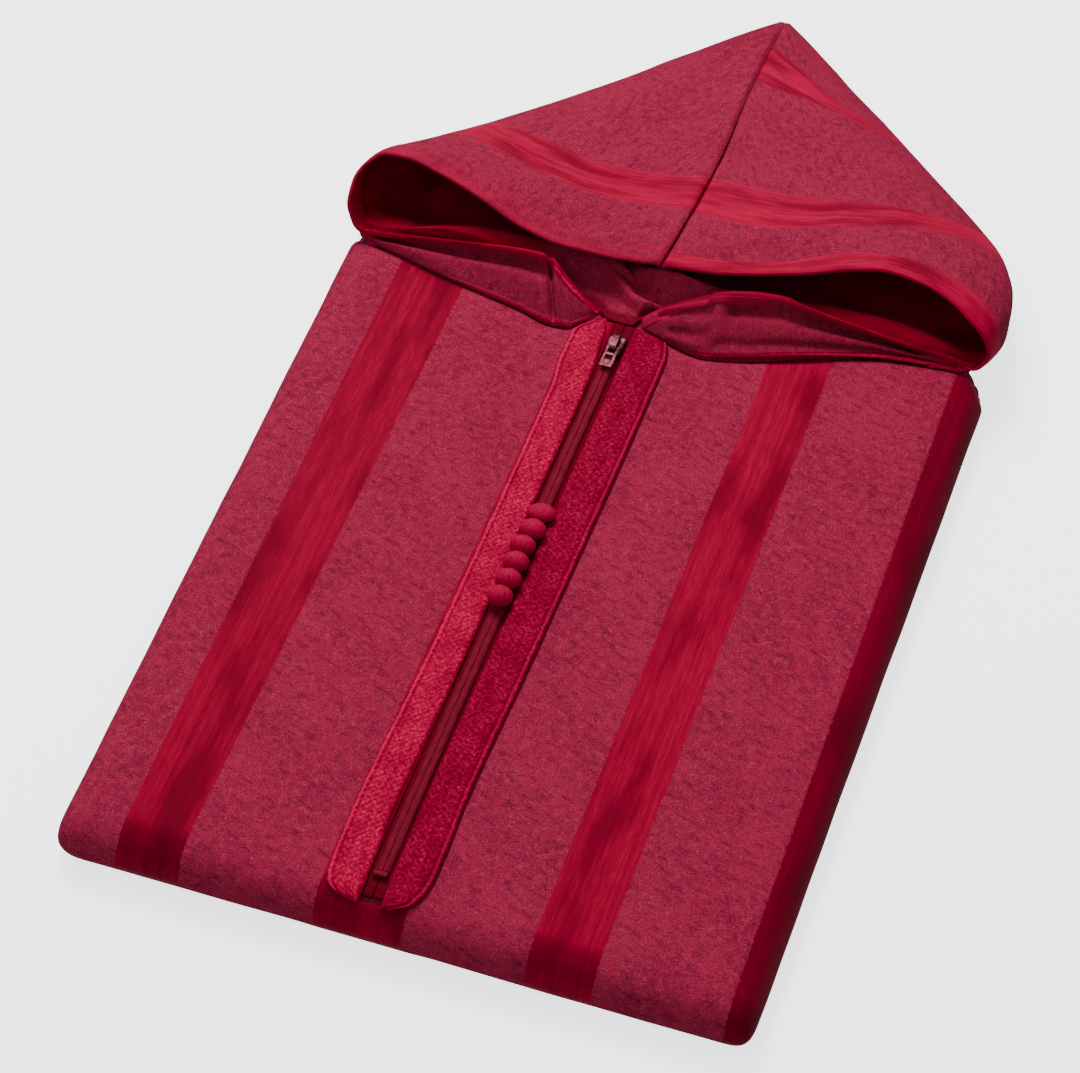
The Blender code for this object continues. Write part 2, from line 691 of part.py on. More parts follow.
def hood_section(y, side):
    """One half of the hood's outer section, from the centre seam over the side fold to the tucked foot."""
    fold_x, seam_x, seam_z, ridge_z, foot_z, tuck = station(y, 1 if side == "left" else 3, 2, 4, 5, 6, 7)
    inward = math.copysign(1, seam_x - fold_x)
    widest_z = foot_z + WIDEST_SHARE * (ridge_z - foot_z)
    points = []
    for step in range(41):
        angle = math.pi / 2 * step / 40
        share = math.sin(angle) ** (2 / SECTION_SQUARENESS)
        fall = math.cos(angle) ** (2 / SECTION_SQUARENESS)
        top_z = seam_z + (ridge_z - seam_z) * smooth_step(share / RIDGE_SHARE)
        points.append((seam_x + share * (fold_x - seam_x), y, widest_z + (top_z - widest_z) * fall))
    for step in range(1, 13):
        angle = math.pi / 2 * step / 12
        x = fold_x + inward * tuck * (1 - math.cos(angle))
        points.append((x, y, widest_z - (widest_z - foot_z) * math.sin(angle)))
    return points


def hood_top(name, side, edge, collection):
    """The upper half of the hood on one side, from its open front edge to the peak."""
    shares = np.concatenate([np.linspace(0, 0.62, 7), np.linspace(0.69, 1, 9)])
    stations = column(HOOD_STATIONS, 0)
    front = resampled([[value * MM for value in row] for row in edge], shares)
    away = front - resampled(hood_section(stations[0], side), shares)
    rows = []
    for y in stations:
        fading = (1 - (y - stations[0]) / (stations[-1] - stations[0])) ** 6
        rows.append(resampled(hood_section(y, side), shares) + fading * away)
    gap = SEAM_GAP / 2 * (-1 if side == "left" else 1)
    rows = [[(x + gap, y, z) for x, y, z in row] for row in rows]
    if side == "left":
        rows = [row[::-1] for row in rows]
    cloth_wall(name, rows, CLOTH, "cloth", collection)


def hood_under(name, side, collection):
    """The cloth under the hood's hollow: from behind the neck over the bundle's end to the peak."""
    sign = -1 if side == "left" else 1
    shares = [0.0, 0.14, 0.28, 0.42, 0.56, 0.7, 0.84, 0.974, 1.0]
    rows = []
    for back, left_width, right_width in SHOULDER_ROWS:
        width = (left_width if side == "left" else right_width) * MM
        row = []
        for share in shares:
            x = sign * (SEAM_GAP / 2 + share * width) - (1 - share) * 1.5 * MM
            front_y = float(np.interp(x, column(HOOD_UNDER_FRONT, 0), column(HOOD_UNDER_FRONT, 1)))
            y = front_y + back * (SHOULDER_ROW_Y - front_y)
            row.append((x, y, BUNDLE_HEIGHT + crown(x, y)))
        rows.append(row)
    for y in column(HOOD_STATIONS, 0)[1:]:
        fold_x, seam_x, inset, low = station(y, 1 if side == "left" else 3, 2, 8, 9)
        start = seam_x + sign * SEAM_GAP / 2
        end = fold_x - sign * inset
        rows.append([(start + share * (end - start), y, low + CLOTH) for share in shares])
    if side == "left":
        rows = [row[::-1] for row in rows]
    cloth_wall(name, rows, CLOTH, "cloth", collection)


def hood(collection):
    hood_front("hood_left_front", LEFT_HOOD_FRONT, collection)
    hood_front("hood_right_front", RIGHT_HOOD_FRONT, collection)
    hood_top("hood_left_top", "left", LEFT_MOUTH_EDGE, collection)
    hood_top("hood_right_top", "right", RIGHT_MOUTH_EDGE, collection)
    hood_under("hood_left_under", "left", collection)
    hood_under("hood_right_under", "right", collection)


def centre_on_origin(collections):
    """Moves everything so that the origin is the middle of the object's box, on the surface below it."""
    bpy.context.view_layer.update()
    graph = bpy.context.evaluated_depsgraph_get()
    low = Vector((math.inf,) * 3)
    high = Vector((-math.inf,) * 3)
    for obj in collections[0].objects:
        evaluated = obj.evaluated_get(graph)
        for corner in evaluated.bound_box:
            point = obj.matrix_world @ Vector(corner)
            low = Vector(map(min, low, point))
            high = Vector(map(max, high, point))
    middle = Vector(((low.x + high.x) / 2, (low.y + high.y) / 2, low.z))
    for collection in collections:
        for obj in collection.objects:
            obj.location -= middle
    bpy.context.view_layer.update()


def main():
    clear_scene()
    robe = new_collection("folded_hooded_robe")
    cutters = new_collection("joined_shapes")
    cutters.hide_render = True
    folded_layers(robe)
    front_panel(robe)
    braids(robe)
    zip_tapes_and_coils(robe)
    bottom_stop(robe)
    slider(robe, cutters)
    pull_tab(robe)
    knots(robe)
    hood(robe)
    centre_on_origin((robe, cutters))


main()
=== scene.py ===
"""Looks of a hooded striped robe, folded flat, with its pointed hood laid back above the shoulders.

The tables are in millimetres. In them Y counts from the robe's bottom fold and X from the folded
bundle's middle, and placed() moves such points into the frame.
"""

import math

import bpy
import numpy as np
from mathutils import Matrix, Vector, noise


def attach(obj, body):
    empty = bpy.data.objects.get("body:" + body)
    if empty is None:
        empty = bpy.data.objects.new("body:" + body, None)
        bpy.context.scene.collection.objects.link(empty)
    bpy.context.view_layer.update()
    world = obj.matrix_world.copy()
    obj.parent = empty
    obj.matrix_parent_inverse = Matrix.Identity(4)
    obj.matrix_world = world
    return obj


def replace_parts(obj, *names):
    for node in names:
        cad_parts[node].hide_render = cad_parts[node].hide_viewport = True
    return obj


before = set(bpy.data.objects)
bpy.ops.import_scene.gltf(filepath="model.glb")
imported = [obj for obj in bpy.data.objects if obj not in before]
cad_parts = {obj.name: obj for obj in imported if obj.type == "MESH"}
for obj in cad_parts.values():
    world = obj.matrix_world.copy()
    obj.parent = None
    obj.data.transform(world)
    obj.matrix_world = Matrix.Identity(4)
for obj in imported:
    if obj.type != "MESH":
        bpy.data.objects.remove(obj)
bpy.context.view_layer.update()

MM = 0.001
FRAME_SHIFT = np.array((-0.045, -318.0, 0.0))
UV_NAME = "along_the_cloth"

# The folded bundle
LENGTH = 390.0
HEM_HALF_WIDTH = 155.5
SHOULDER_HALF_WIDTH = 165.0
BUNDLE_HEIGHT = 26.7
CROWN = 1.2
CLOTH = 1.5
CAD_CLOTH = 2.0
SEAM_GAP = 0.3
CORNER_RADIUS = 20.0
CORNER_SQUARENESS = {"left": 4.0, "right": 6.0}
EDGE_ROLL = (
    # inset from the outline, share of the bundle's height
    (20, 1),
    (14.5, 0.985),
    (9.5, 0.930),
    (5.2, 0.830),
    (2.2, 0.690),
    (0.5, 0.540),
    (0, 0.420),
    (1, 0.280),
    (3.2, 0.140),
    (6.2, 0.045),
    (9.6, 0.004),
    (12.8, 0),
    (16, 0),
)

# Layers that show at the shoulder end
LAYERS = 5
LAYER_NOSE = 2.2
LAYERS_END = 391.0
LAYERS_CORNER = {"left": 157.0, "right": 152.0}
LAYERS_CORNER_SLOPE = 0.8

# Front opening
ZIP_X = -11.8
SLIT_HALF_WIDTH = 5.2
TAPE_THICKNESS = 1.2
TAPE_FACE = -0.8
COIL_WIDTH = 3.3
COIL_HEIGHT = 2.2
COIL_PITCH = 1.3
COIL_START = 23.5
COIL_END = 338.8
BRAID_THICKNESS = 1.9
STITCH_CELL = 3.1
BRAID_STEP = 0.62
# Lines along a braid: how far the middle lies from its first edge, and the half width
THREAD_ROW = (1.7, 0.8)
GROOVE = (3.1, 0.6)
EDGE_ROW = (0.4, 0.6)

LEFT_BRAID = (
    # outer x, outer y, inner x, inner y
    (-27, 9, -17.4, 7.4),
    (-32, 11.5, -16.6, 11),
    (-33.5, 14.5, -16.4, 14.5),
    (-34.3, 20, -16.6, 20),
    (-35, 30, -17, 30),
    (-35.5, 55, -18, 55),
    (-33.5, 135, -16.8, 135),
    (-33.2, 200, -16.8, 200),
    (-33.5, 306, -16.6, 306),
    (-35.6, 332, -17.6, 334),
    (-35.5, 349, -19, 351),
    (-29.6, 357.6, -20.5, 360.4),
    (-28.2, 360.4, -21.4, 363.6),
)
RIGHT_BRAID = (
    # inner x, inner y, outer x, outer y
    (-6.4, 7, -1.5, 8.2),
    (-6.8, 9.5, 2, 9.5),
    (-6.8, 11.5, 6.5, 11.5),
    (-6.9, 14.5, 8.6, 14.5),
    (-7, 20, 10.4, 20),
    (-7, 27, 11.2, 27),
    (-7, 38, 11.2, 40),
    (-7.2, 62, 10.6, 66),
    (-6.8, 141, 12.5, 143),
    (-6.6, 230, 14, 232),
    (-6, 315, 15, 318),
    (-6.6, 345, 15, 342),
    (-6, 359, 13, 353),
    (-5.6, 361.6, 11.8, 355.8),
)
KNOTS = (
    # x, y, width, length, height
    (-10.2, 229.2, 12.8, 10.4, 6.8),
    (-10.8, 217.9, 12.4, 10.8, 8.4),
    (-12, 207.3, 12, 9.8, 8.8),
    (-11.6, 196.8, 12, 10.4, 9),
    (-11.6, 186.2, 12, 10.2, 9),
    (-11.9, 175.4, 11.6, 10.6, 9.2),
)

# The hood
HOOD_FRONT = {
    # neck seam x and y, then rim x, y and height
    "left": (
        (-156.5, 380.4, -158.8, 382.8, 32.2),
        (-145, 376.6, -147.5, 381, 32),
        (-133, 373.4, -135, 381, 34),
        (-109, 366.3, -113, 381.5, 38),
        (-87, 361.3, -88, 381.5, 42),
        (-64, 355.7, -68, 381, 45),
        (-47, 350.8, -57, 379.5, 46),
        (-37.5, 351.5, -44, 372.5, 41),
        (-31, 358.5, -33, 367, 35.5),
        (-27.8, 362.5, -23.5, 364.5, 31),
    ),
    "right": (
        (-3.5, 362, -5, 367.5, 31),
        (2.5, 360, 3, 371.5, 36),
        (9, 357.5, 12, 375.5, 39.5),
        (18.5, 354.5, 21, 379.5, 42),
        (29, 352.3, 31, 384, 44),
        (48, 356, 48, 388.5, 45),
        (62, 361, 60, 389.5, 45),
        (75, 366.4, 72, 388, 43.5),
        (98, 376, 97, 386.5, 40),
        (116, 381.5, 116, 386.8, 36),
        (135, 383.8, 136, 388, 32),
        (146, 384.8, 147.3, 388.2, 30.4),
        (154.4, 384.6, 157.6, 388.4, 31.6),
    ),
}
SHOULDER_SLOPE = (
    # x and y of the front's end beyond the neck seam
    (-165, 385.5),
    (-159.5, 383),
    (-157.5, 381.2),
    (157, 383),
    (161.5, 379.8),
    (166, 377),
)
MOUTH_EDGE = {
    # x, y and height of the hood's front edge, from the centre seam round the loop
    "left": (
        (-2, 387, 49),
        (-26, 385, 49),
        (-52, 384.5, 50),
        (-75, 388.5, 52.5),
        (-98, 397, 56),
        (-122, 405, 59),
        (-140, 409.5, 60.5),
        (-153, 410, 60),
        (-161, 402.5, 57.5),
        (-165, 393.5, 52),
        (-165.5, 385.5, 44),
        (-163, 382.5, 36),
        (-160.6, 381.4, 31.2),
        (-157.2, 380.8, 28.8),
    ),
    "right": (
        (-2, 387, 49),
        (18, 389.5, 49),
        (40, 394, 49.5),
        (58, 399, 50.5),
        (74, 403, 53),
        (90, 406.5, 56.5),
        (105, 408.5, 58.5),
        (123, 406, 58.5),
        (140, 399.5, 56.5),
        (151.5, 393.5, 52),
        (160, 390.5, 44),
        (162.5, 389.6, 36),
        (160.6, 387.4, 31),
        (157.6, 385.4, 28.4),
        (153.4, 384.6, 28),
    ),
}
HOOD_STATIONS = (
    # y, left fold x, seam x, right fold x, seam height, shoulder-ridge height, foot height,
    # tuck of the foot, inset of the cloth below, height of the cloth below
    (387, -166, -2, 163, 49, 60, 28.8, 8.8, 9.3, 24.7),
    (400, -165, -1, 166.2, 48.5, 60, 22.5, 9, 11.4, 22.5),
    (414, -163, 0, 166.6, 47.5, 58.5, 11.5, 9, 11.4, 11.5),
    (428, -159.2, 0.5, 165.8, 46, 55.5, 3, 8.5, 10.9, 3),
    (444, -150.8, 1, 163.3, 43.5, 51.5, 0, 8, 10.4, 0),
    (464, -137.8, 1, 155.6, 40, 46, 0, 7.5, 9.9, 0),
    (488, -121, 0.5, 138.5, 35, 39, 0, 7, 9.4, 0),
    (514, -102.5, -1, 115.8, 29.5, 31.5, 0, 6, 8.4, 0),
    (540, -83.9, -3, 93, 23.5, 24, 0, 5, 7.4, 0),
    (566, -65.3, -4.5, 68.8, 17.5, 17.5, 0, 4, 6.5, 0),
    (590, -47.6, -5.5, 45.3, 12.5, 12.5, 0, 2, 4.7, 0),
    (604, -36.4, -6, 31.2, 9.6, 9.6, 2.6, 0, 4, 0),
    (614, -28.6, -5.8, 21.4, 7.8, 7.8, 2.6, 0, 1, 0),
    (626, -18.4, -5.5, 9.3, 6, 6, 2.9, 0, 0, 0),
    (636, -8, -5.2, -2.4, 4.9, 4.9, 4.3, 0, 0, 0),
)
HOOD_UNDER_FRONT = (
    # x and y of its front border, on the bundle behind the hood's front pieces
    (-157.4, 383.2),
    (-153, 385),
    (-141, 386.5),
    (-100, 385),
    (-60, 378),
    (-45, 371.5),
    (-28, 369),
    (-21.5, 364),
    (-9, 363.2),
    (-5.5, 369.2),
    (-2, 370.5),
    (20, 376),
    (50, 385),
    (90, 388),
    (152, 389.6),
    (156.2, 385.2),
)
SHOULDER_ROW_Y = 391.0
SHOULDER_ROWS = (
    # share of the way from the front border to the bundle's end, left and right half width
    (0, 157.2, 156),
    (0.5, 155.4, 155),
    (1, 153.8, 153.6),
)
FOLD_COLUMN = {"left": 1, "right": 3}
HOOD_START = 387.0
HOOD_PEAK = 636.0
RIDGE_SHARE = 0.74
SECTION_SQUARENESS = 3.0
WIDEST_SHARE = 0.42

# Where the woven stripes lie: across the body, and counted from the front edge over the hood
BODY_STRIPES = (
    # low, high, strength
    (-221, -189, 1),
    (-127.6, -95.8, 1),
    (-34.5, 5.5, 1),
    (60, 89.3, 1),
    (146.5, 182, 1),
)
# Painted shade darkens the edge stripe on the right side fold, which faces away from the light; the left
# stripe is only made a little darker.
STRIPES_WITH_PAINTED_SHADE = ((-127.6, -95.8, 0.16), (146.5, 182.0, 0.6))
STRIPE_MIDDLE_Y = 175.0
# Middle of the bottom fold's turn, where the stripes get painted shade
ROLL_MIDDLE = -2.0
STRIPE_SPREAD = (
    # x on the front, and how far a stripe there moves to the right for each mm towards the shoulders
    (-128, -0.019),
    (-96, 0),
    (60, 0.008),
    (89, 0.008),
    (146, 0.0125),
)
HOOD_STRIPES = {
    "left": ((-40.0, 6.0, 0.6), (9.4, 13.6, 0.5), (45.0, 80.0, 1.0)),
    "right": ((-40.0, 12.0, 1.0), (45.0, 80.0, 1.0), (185.0, 238.0, 1.0)),
}
COLLAR_STRIPES = ((-30.0, 4.2, 1.0),)
HOOD_STRIPE_EDGES = {
    # distance from the seam, then the real distances from the front edge of each mapped line
    "left": (
        (0, 9, 48, 78, 185, 238),
        (32, 8.5, 43.5, 71, 185, 238),
        (61, 10.5, 42, 67.5, 185, 238),
        (92, 13, 39.6, 65, 185, 238),
        (111, 17, 43, 70, 185, 238),
        (124, 20, 49, 84, 185, 238),
        (170, 24, 56, 96, 185, 238),
    ),
    "right": (
        (0, 10, 46, 78, 191, 229),
        (20, 9.5, 42, 75, 181, 208),
        (40, 9, 38, 71, 172.5, 190),
        (60, 10, 40, 67, 171.5, 182),
        (87, 18, 45, 66, 181, 190),
        (111, 16, 53, 71, 190, 199),
        (141, 15, 69, 93, 200, 210),
        (170, 14, 80, 108, 210, 222),
    ),
}
MAPPED_LINES = (12.0, 45.0, 80.0, 185.0, 238.0)
DYED_GLOSS = (1.0, 0.05, 0.13)
NYLON_GLOSS = (1.0, 0.2, 0.25)

# Colours, in linear light
GROUND = (0.250, 0.0110, 0.0400)
GROUND_DARK = (0.185, 0.0070, 0.0290)
GROUND_RED = (0.280, 0.0060, 0.0300)
GROUND_LIGHT = (0.390, 0.0270, 0.0850)
GROUND_DEEP = (0.055, 0.0015, 0.0090)
FIBRE = (0.520, 0.0750, 0.1500)
STRIPE = (0.225, 0.0003, 0.0170)
STRIPE_BRIGHT = (0.310, 0.0005, 0.0280)
STRIPE_DARK = (0.075, 0.0002, 0.0060)
BODY_SATIN = (STRIPE, STRIPE_BRIGHT)
# Mixed into the collars' ground as painted shade, more on the right collar that lies under the hood's rim,
# and a little into the hood's ground as a darker tone.
PAINTED_SHADE_AND_TONE = (0.085, 0.0012, 0.0090)
# Painted light: the hood's stripes get a lighter satin than the body's, for the sheen they catch.
HOOD_SATIN = ((0.300, 0.0003, 0.0260), (0.440, 0.0005, 0.0440))
LINING = (0.340, 0.0014, 0.0240)
LINING_DARK = (0.200, 0.0008, 0.0140)
# Painted shade on the heathered neck cloth under the hood, and the span of the painted shadow along its front
# edge
NECK_PAINTED_SHADE = 0.25
NECK_REACH = 75.0
NECK_GAP_PAINTED_SHADOW = (27.5, 32.5)
BRAID_LIGHT = (0.640, 0.0050, 0.0680)
BRAID_MIDDLE = (0.400, 0.0030, 0.0430)
# Painted shade: the right braid's darker middle tone.
BRAID_PAINTED_SHADE = (0.270, 0.0018, 0.0270)
BRAID_DARK = (0.150, 0.0008, 0.0150)
# Painted shade: the right braid's darkest tone.
BRAID_DEEP_PAINTED_SHADE = (0.080, 0.0004, 0.0080)
# The tape's colours are partly its own dark red and partly painted shade of the slit between the braids.
TAPE = (0.125, 0.0025, 0.0115)
TAPE_DARK = (0.070, 0.0012, 0.0060)
COIL = (0.160, 0.0050, 0.0190)
COIL_DARK = (0.095, 0.0030, 0.0110)
THREAD = (0.360, 0.0030, 0.0400)
THREAD_DARK = (0.190, 0.0012, 0.0200)
METAL = (0.135, 0.0330, 0.0460)
METAL_DARK = (0.045, 0.0090, 0.0150)

# Camera, floor and lights, in metres and millimetres of lens
CAMERA_EYE = (0.27825, -0.9517, 1.0683)
CAMERA_TARGET = (-0.0156, -0.0755, 0)
CAMERA_LENS = 100
CAMERA_SENSOR = 36
FLOOR_REACH = 6.0
FLOOR_DROP = 0.0002
FLOOR_TONES = ((0.86, 0.865, 0.875), (0.875, 0.875, 0.88))
FLOOR_GLOW = 2.2
SKY = (0.93, 0.96, 1.0, 1)
SKY_STRENGTH = 0.52
LIGHTS = (
    # name, size, energy, place, colour
    ("key", 0.8, 50, (-0.5, 0.8, 1.6), (1.0, 0.985, 0.97)),
    ("fill", 1.4, 9, (-0.2, -1.3, 1.6), (1, 1, 1)),
)


def smooth_step(value):
    value = np.clip(value, 0.0, 1.0)
    return value * value * (3 - 2 * value)


def eased(known, values, wanted):
    """A smooth curve through values at known places, without overshoot."""
    known = np.asarray(known, float)
    values = np.asarray(values, float)
    wanted = np.asarray(wanted, float)
    step = np.diff(known)
    slope = np.diff(values) / step
    inner = np.zeros(len(slope) - 1)
    same = slope[:-1] * slope[1:] > 0
    inner[same] = 2 * slope[:-1][same] * slope[1:][same] / (slope[:-1] + slope[1:])[same]
    tangent = np.concatenate([[slope[0]], inner, [slope[-1]]])
    at = np.clip(np.searchsorted(known, wanted, side="right") - 1, 0, len(step) - 1)
    share = np.clip((wanted - known[at]) / step[at], 0, 1)
    start = (2 * share**3 - 3 * share**2 + 1) * values[at]
    end = (3 * share**2 - 2 * share**3) * values[at + 1]
    leaving = (share**3 - 2 * share**2 + share) * step[at] * tangent[at]
    arriving = (share**3 - share**2) * step[at] * tangent[at + 1]
    return start + end + leaving + arriving


def table_column(table, index):
    return [row[index] for row in table]


def table_at(table, index, wanted):
    """A table's column, smoothly, at fractional row numbers."""
    return eased(range(len(table)), table_column(table, index), wanted)


def resampled(points, shares):
    """Points at the given shares of a line's length."""
    steps = np.linalg.norm(np.diff(points, axis=0), axis=1)
    reach = np.concatenate([[0], np.cumsum(steps)]) / steps.sum()
    return np.stack([np.interp(shares, reach, points[:, axis]) for axis in range(3)], -1)


def ripple(x, y, size, seed):
    """Soft random waves between -1 and 1, the same on each run."""
    x, y = np.broadcast_arrays(np.asarray(x, float), np.asarray(y, float))
    values = [noise.noise(Vector((a / size, b / size, seed))) for a, b in zip(x.ravel(), y.ravel())]
    return np.array(values).reshape(x.shape)


def creases(table, x, y):
    """Height of the soft ridges and troughs in a table, each a line that fades at both ends."""
    height = np.zeros(np.shape(x))
    for start_x, start_y, end_x, end_y, half_width, rise in table:
        run = np.array((end_x - start_x, end_y - start_y))
        length = np.linalg.norm(run)
        along = ((x - start_x) * run[0] + (y - start_y) * run[1]) / length
        across = ((x - start_x) * run[1] - (y - start_y) * run[0]) / length
        beyond = np.maximum(0, np.maximum(-along, along - length))
        height += rise * np.exp(-((across / half_width) ** 2) - (beyond / (1.5 * half_width)) ** 2)
    return height


def directions(points):
    """Unit vectors square to a grid of points, upwards where columns run right and rows run up."""
    right = np.gradient(points, axis=1)
    up = np.gradient(points, axis=0)
    square = np.cross(right, up)
    return square / np.maximum(np.linalg.norm(square, axis=2, keepdims=True), 1e-9)


def distances(points, axis):
    """Distance along a grid's rows or columns from its first point."""
    steps = np.linalg.norm(np.diff(points, axis=axis), axis=2)
    start = np.zeros_like(np.take(steps, [0], axis=axis))
    return np.concatenate([start, np.cumsum(steps, axis=axis)], axis=axis)


def placed(points):
    return (np.asarray(points, float) + FRAME_SHIFT) * MM


def new_piece(name, points, faces, face_uvs, material, body="root"):
    mesh = bpy.data.meshes.new(name)
    mesh.from_pydata(placed(points).tolist(), [], faces)
    layer = mesh.uv_layers.new(name=UV_NAME)
    layer.data.foreach_set("uv", (np.asarray(face_uvs, float) * MM).astype(np.float32).ravel())
    mesh.materials.append(material)
    mesh.shade_smooth()
    piece = bpy.data.objects.new(name, mesh)
    bpy.context.scene.collection.objects.link(piece)
    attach(piece, body)
    return piece


def stand_for(piece, node):
    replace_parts(piece, node)


def grid_piece(name, points, uvs, material, missing=None):
    """A surface through a grid of points. Columns run right and rows run up, seen from its front."""
    rows, columns = points.shape[:2]
    number = np.arange(rows * columns).reshape(rows, columns)
    corners = [number[:-1, :-1], number[:-1, 1:], number[1:, 1:], number[1:, :-1]]
    faces = np.stack(corners, -1)
    if missing is not None:
        faces = faces[~missing]
    faces = faces.reshape(-1, 4)
    flat_uvs = uvs.reshape(-1, 2)
    used = np.unique(faces)
    renumber = np.zeros(rows * columns, int)
    renumber[used] = np.arange(len(used))
    return new_piece(
        name, points.reshape(-1, 3)[used], renumber[faces].tolist(), flat_uvs[faces.ravel()], material
    )


def thicken(piece, thickness=CLOTH, inside=None, lined_rows=0, columns=0):
    """Gives a surface its thickness. A second material shows inside and on the first rows of faces."""
    shell = piece.modifiers.new("Cloth", "SOLIDIFY")
    shell.thickness = thickness * MM
    shell.offset = -1
    if inside:
        piece.data.materials.append(inside)
        shell.material_offset = 1
        for face in piece.data.polygons[: lined_rows * (columns - 1)]:
            face.material_index = 1
    return piece


# Materials


class Nodes:
    """A material's nodes, with short calls for the kinds used here."""

    def __init__(self, name):
        self.material = bpy.data.materials.new(name)
        self.material.use_nodes = True
        self.tree = self.material.node_tree
        self.shader = self.tree.nodes["Principled BSDF"]

    def new(self, kind):
        return self.tree.nodes.new(kind)

    def put(self, socket, value):
        """Links another node's output to a socket, or sets its value. A colour may leave out its alpha."""
        if isinstance(value, bpy.types.NodeSocket):
            self.tree.links.new(value, socket)
        elif isinstance(value, tuple):
            socket.default_value = (*value, 1)[:4]
        else:
            socket.default_value = value

    def math(self, operation, first, second=0.0, third=0.0):
        node = self.new("ShaderNodeMath")
        node.operation = operation
        for socket, value in zip(node.inputs, (first, second, third)):
            self.put(socket, value)
        return node.outputs[0]

    def between(self, value, low, high, to_low=0.0, to_high=1.0):
        node = self.new("ShaderNodeMapRange")
        node.interpolation_type = "SMOOTHSTEP"
        for socket, given in zip(node.inputs, (value, low, high, to_low, to_high)):
            self.put(socket, given)
        return node.outputs[0]

    def mix(self, share, first, second):
        node = self.new("ShaderNodeMix")
        node.data_type = "RGBA"
        self.put(node.inputs["Factor"], share)
        self.put(node.inputs["A"], first)
        self.put(node.inputs["B"], second)
        return node.outputs["Result"]

    def tinted(self, color, tone, value, low, high, to_low=0.0, to_high=1.0):
        """A colour mixed with a tone, by a value's way from low to high."""
        return self.mix(self.between(value, low, high, to_low, to_high), color, tone)

    def cloth_place(self):
        node = self.new("ShaderNodeUVMap")
        node.uv_map = UV_NAME
        return node.outputs[0]

    def axes(self, place):
        """The place's first and second coordinate."""
        node = self.new("ShaderNodeSeparateXYZ")
        self.put(node.inputs[0], place)
        return node.outputs[0], node.outputs[1]

    def noise(self, place, across, along, turn=0.0, offset=0.0, detail=2.0, roughness=0.5, distortion=0.0):
        """Noise in spots of across by along millimetres, turned by some degrees and shifted."""
        spots = self.new("ShaderNodeMapping")
        spots.vector_type = "TEXTURE"
        self.put(spots.inputs["Vector"], place)
        spots.inputs["Location"].default_value = (offset, offset * 0.7, 0)
        spots.inputs["Rotation"].default_value = (0, 0, math.radians(turn))
        spots.inputs["Scale"].default_value = (across * MM, along * MM, MM)
        node = self.new("ShaderNodeTexNoise")
        self.put(node.inputs["Vector"], spots.outputs[0])
        node.inputs["Scale"].default_value = 1.0
        node.inputs["Detail"].default_value = detail
        node.inputs["Roughness"].default_value = roughness
        node.inputs["Distortion"].default_value = distortion
        return node.outputs[0]

    def bump(self, height, strength, distance, normal=None):
        node = self.new("ShaderNodeBump")
        node.inputs["Strength"].default_value = strength
        node.inputs["Distance"].default_value = distance * MM
        self.put(node.inputs["Height"], height)
        if normal is not None:
            self.put(node.inputs["Normal"], normal)
        return node.outputs[0]

    def finish(self, color, roughness, normal, sheen=0.0, specular=0.5, gloss_tint=(1, 1, 1), metallic=0.0):
        values = {
            "Base Color": color,
            "Roughness": roughness,
            "Normal": normal,
            "Sheen Weight": sheen,
            "Sheen Tint": gloss_tint,
            "Sheen Roughness": 0.5,
            "Specular IOR Level": specular,
            "Specular Tint": gloss_tint,
            "Metallic": metallic,
        }
        for name, value in values.items():
            self.put(self.shader.inputs[name], value)
        return self.material


def fibres(nodes, place, across, along, turn, thinness, offset):
    """Thin curly fibre lines, 1 on a fibre and 0 between them."""
    wave = nodes.noise(place, across, along, turn, offset, 1.5, 0.5, 0.6)
    away = nodes.math("ABSOLUTE", nodes.math("SUBTRACT", wave, 0.5))
    return nodes.between(away, 0.0, thinness, 1.0, 0.0)


def stripe_mask(nodes, place, stripes, blur=0.5):
    """1 inside the woven stripes. Their edges are rough by the yarn, and blurred over some millimetres."""
    u = nodes.axes(place)[0]
    rough_edge = nodes.noise(place, 0.8, 1.6, detail=1.0)
    streaky = nodes.noise(place, 1.6, 55, 0, 0.35)
    across = nodes.math("MULTIPLY_ADD", nodes.math("SUBTRACT", rough_edge, 0.5), 2.4 * MM, u)
    across = nodes.math("MULTIPLY_ADD", nodes.math("SUBTRACT", streaky, 0.5), 8 * (blur - 0.5) * MM, across)
    mask = 0.0
    for low, high, strength in stripes:
        middle = (low + high) / 2 * MM
        half = (high - low) / 2 * MM
        away = nodes.math("ABSOLUTE", nodes.math("SUBTRACT", across, middle))
        inside = nodes.between(away, half - blur * MM, half + blur * MM, strength, 0.0)
        mask = nodes.math("MAXIMUM", mask, inside)
    return mask


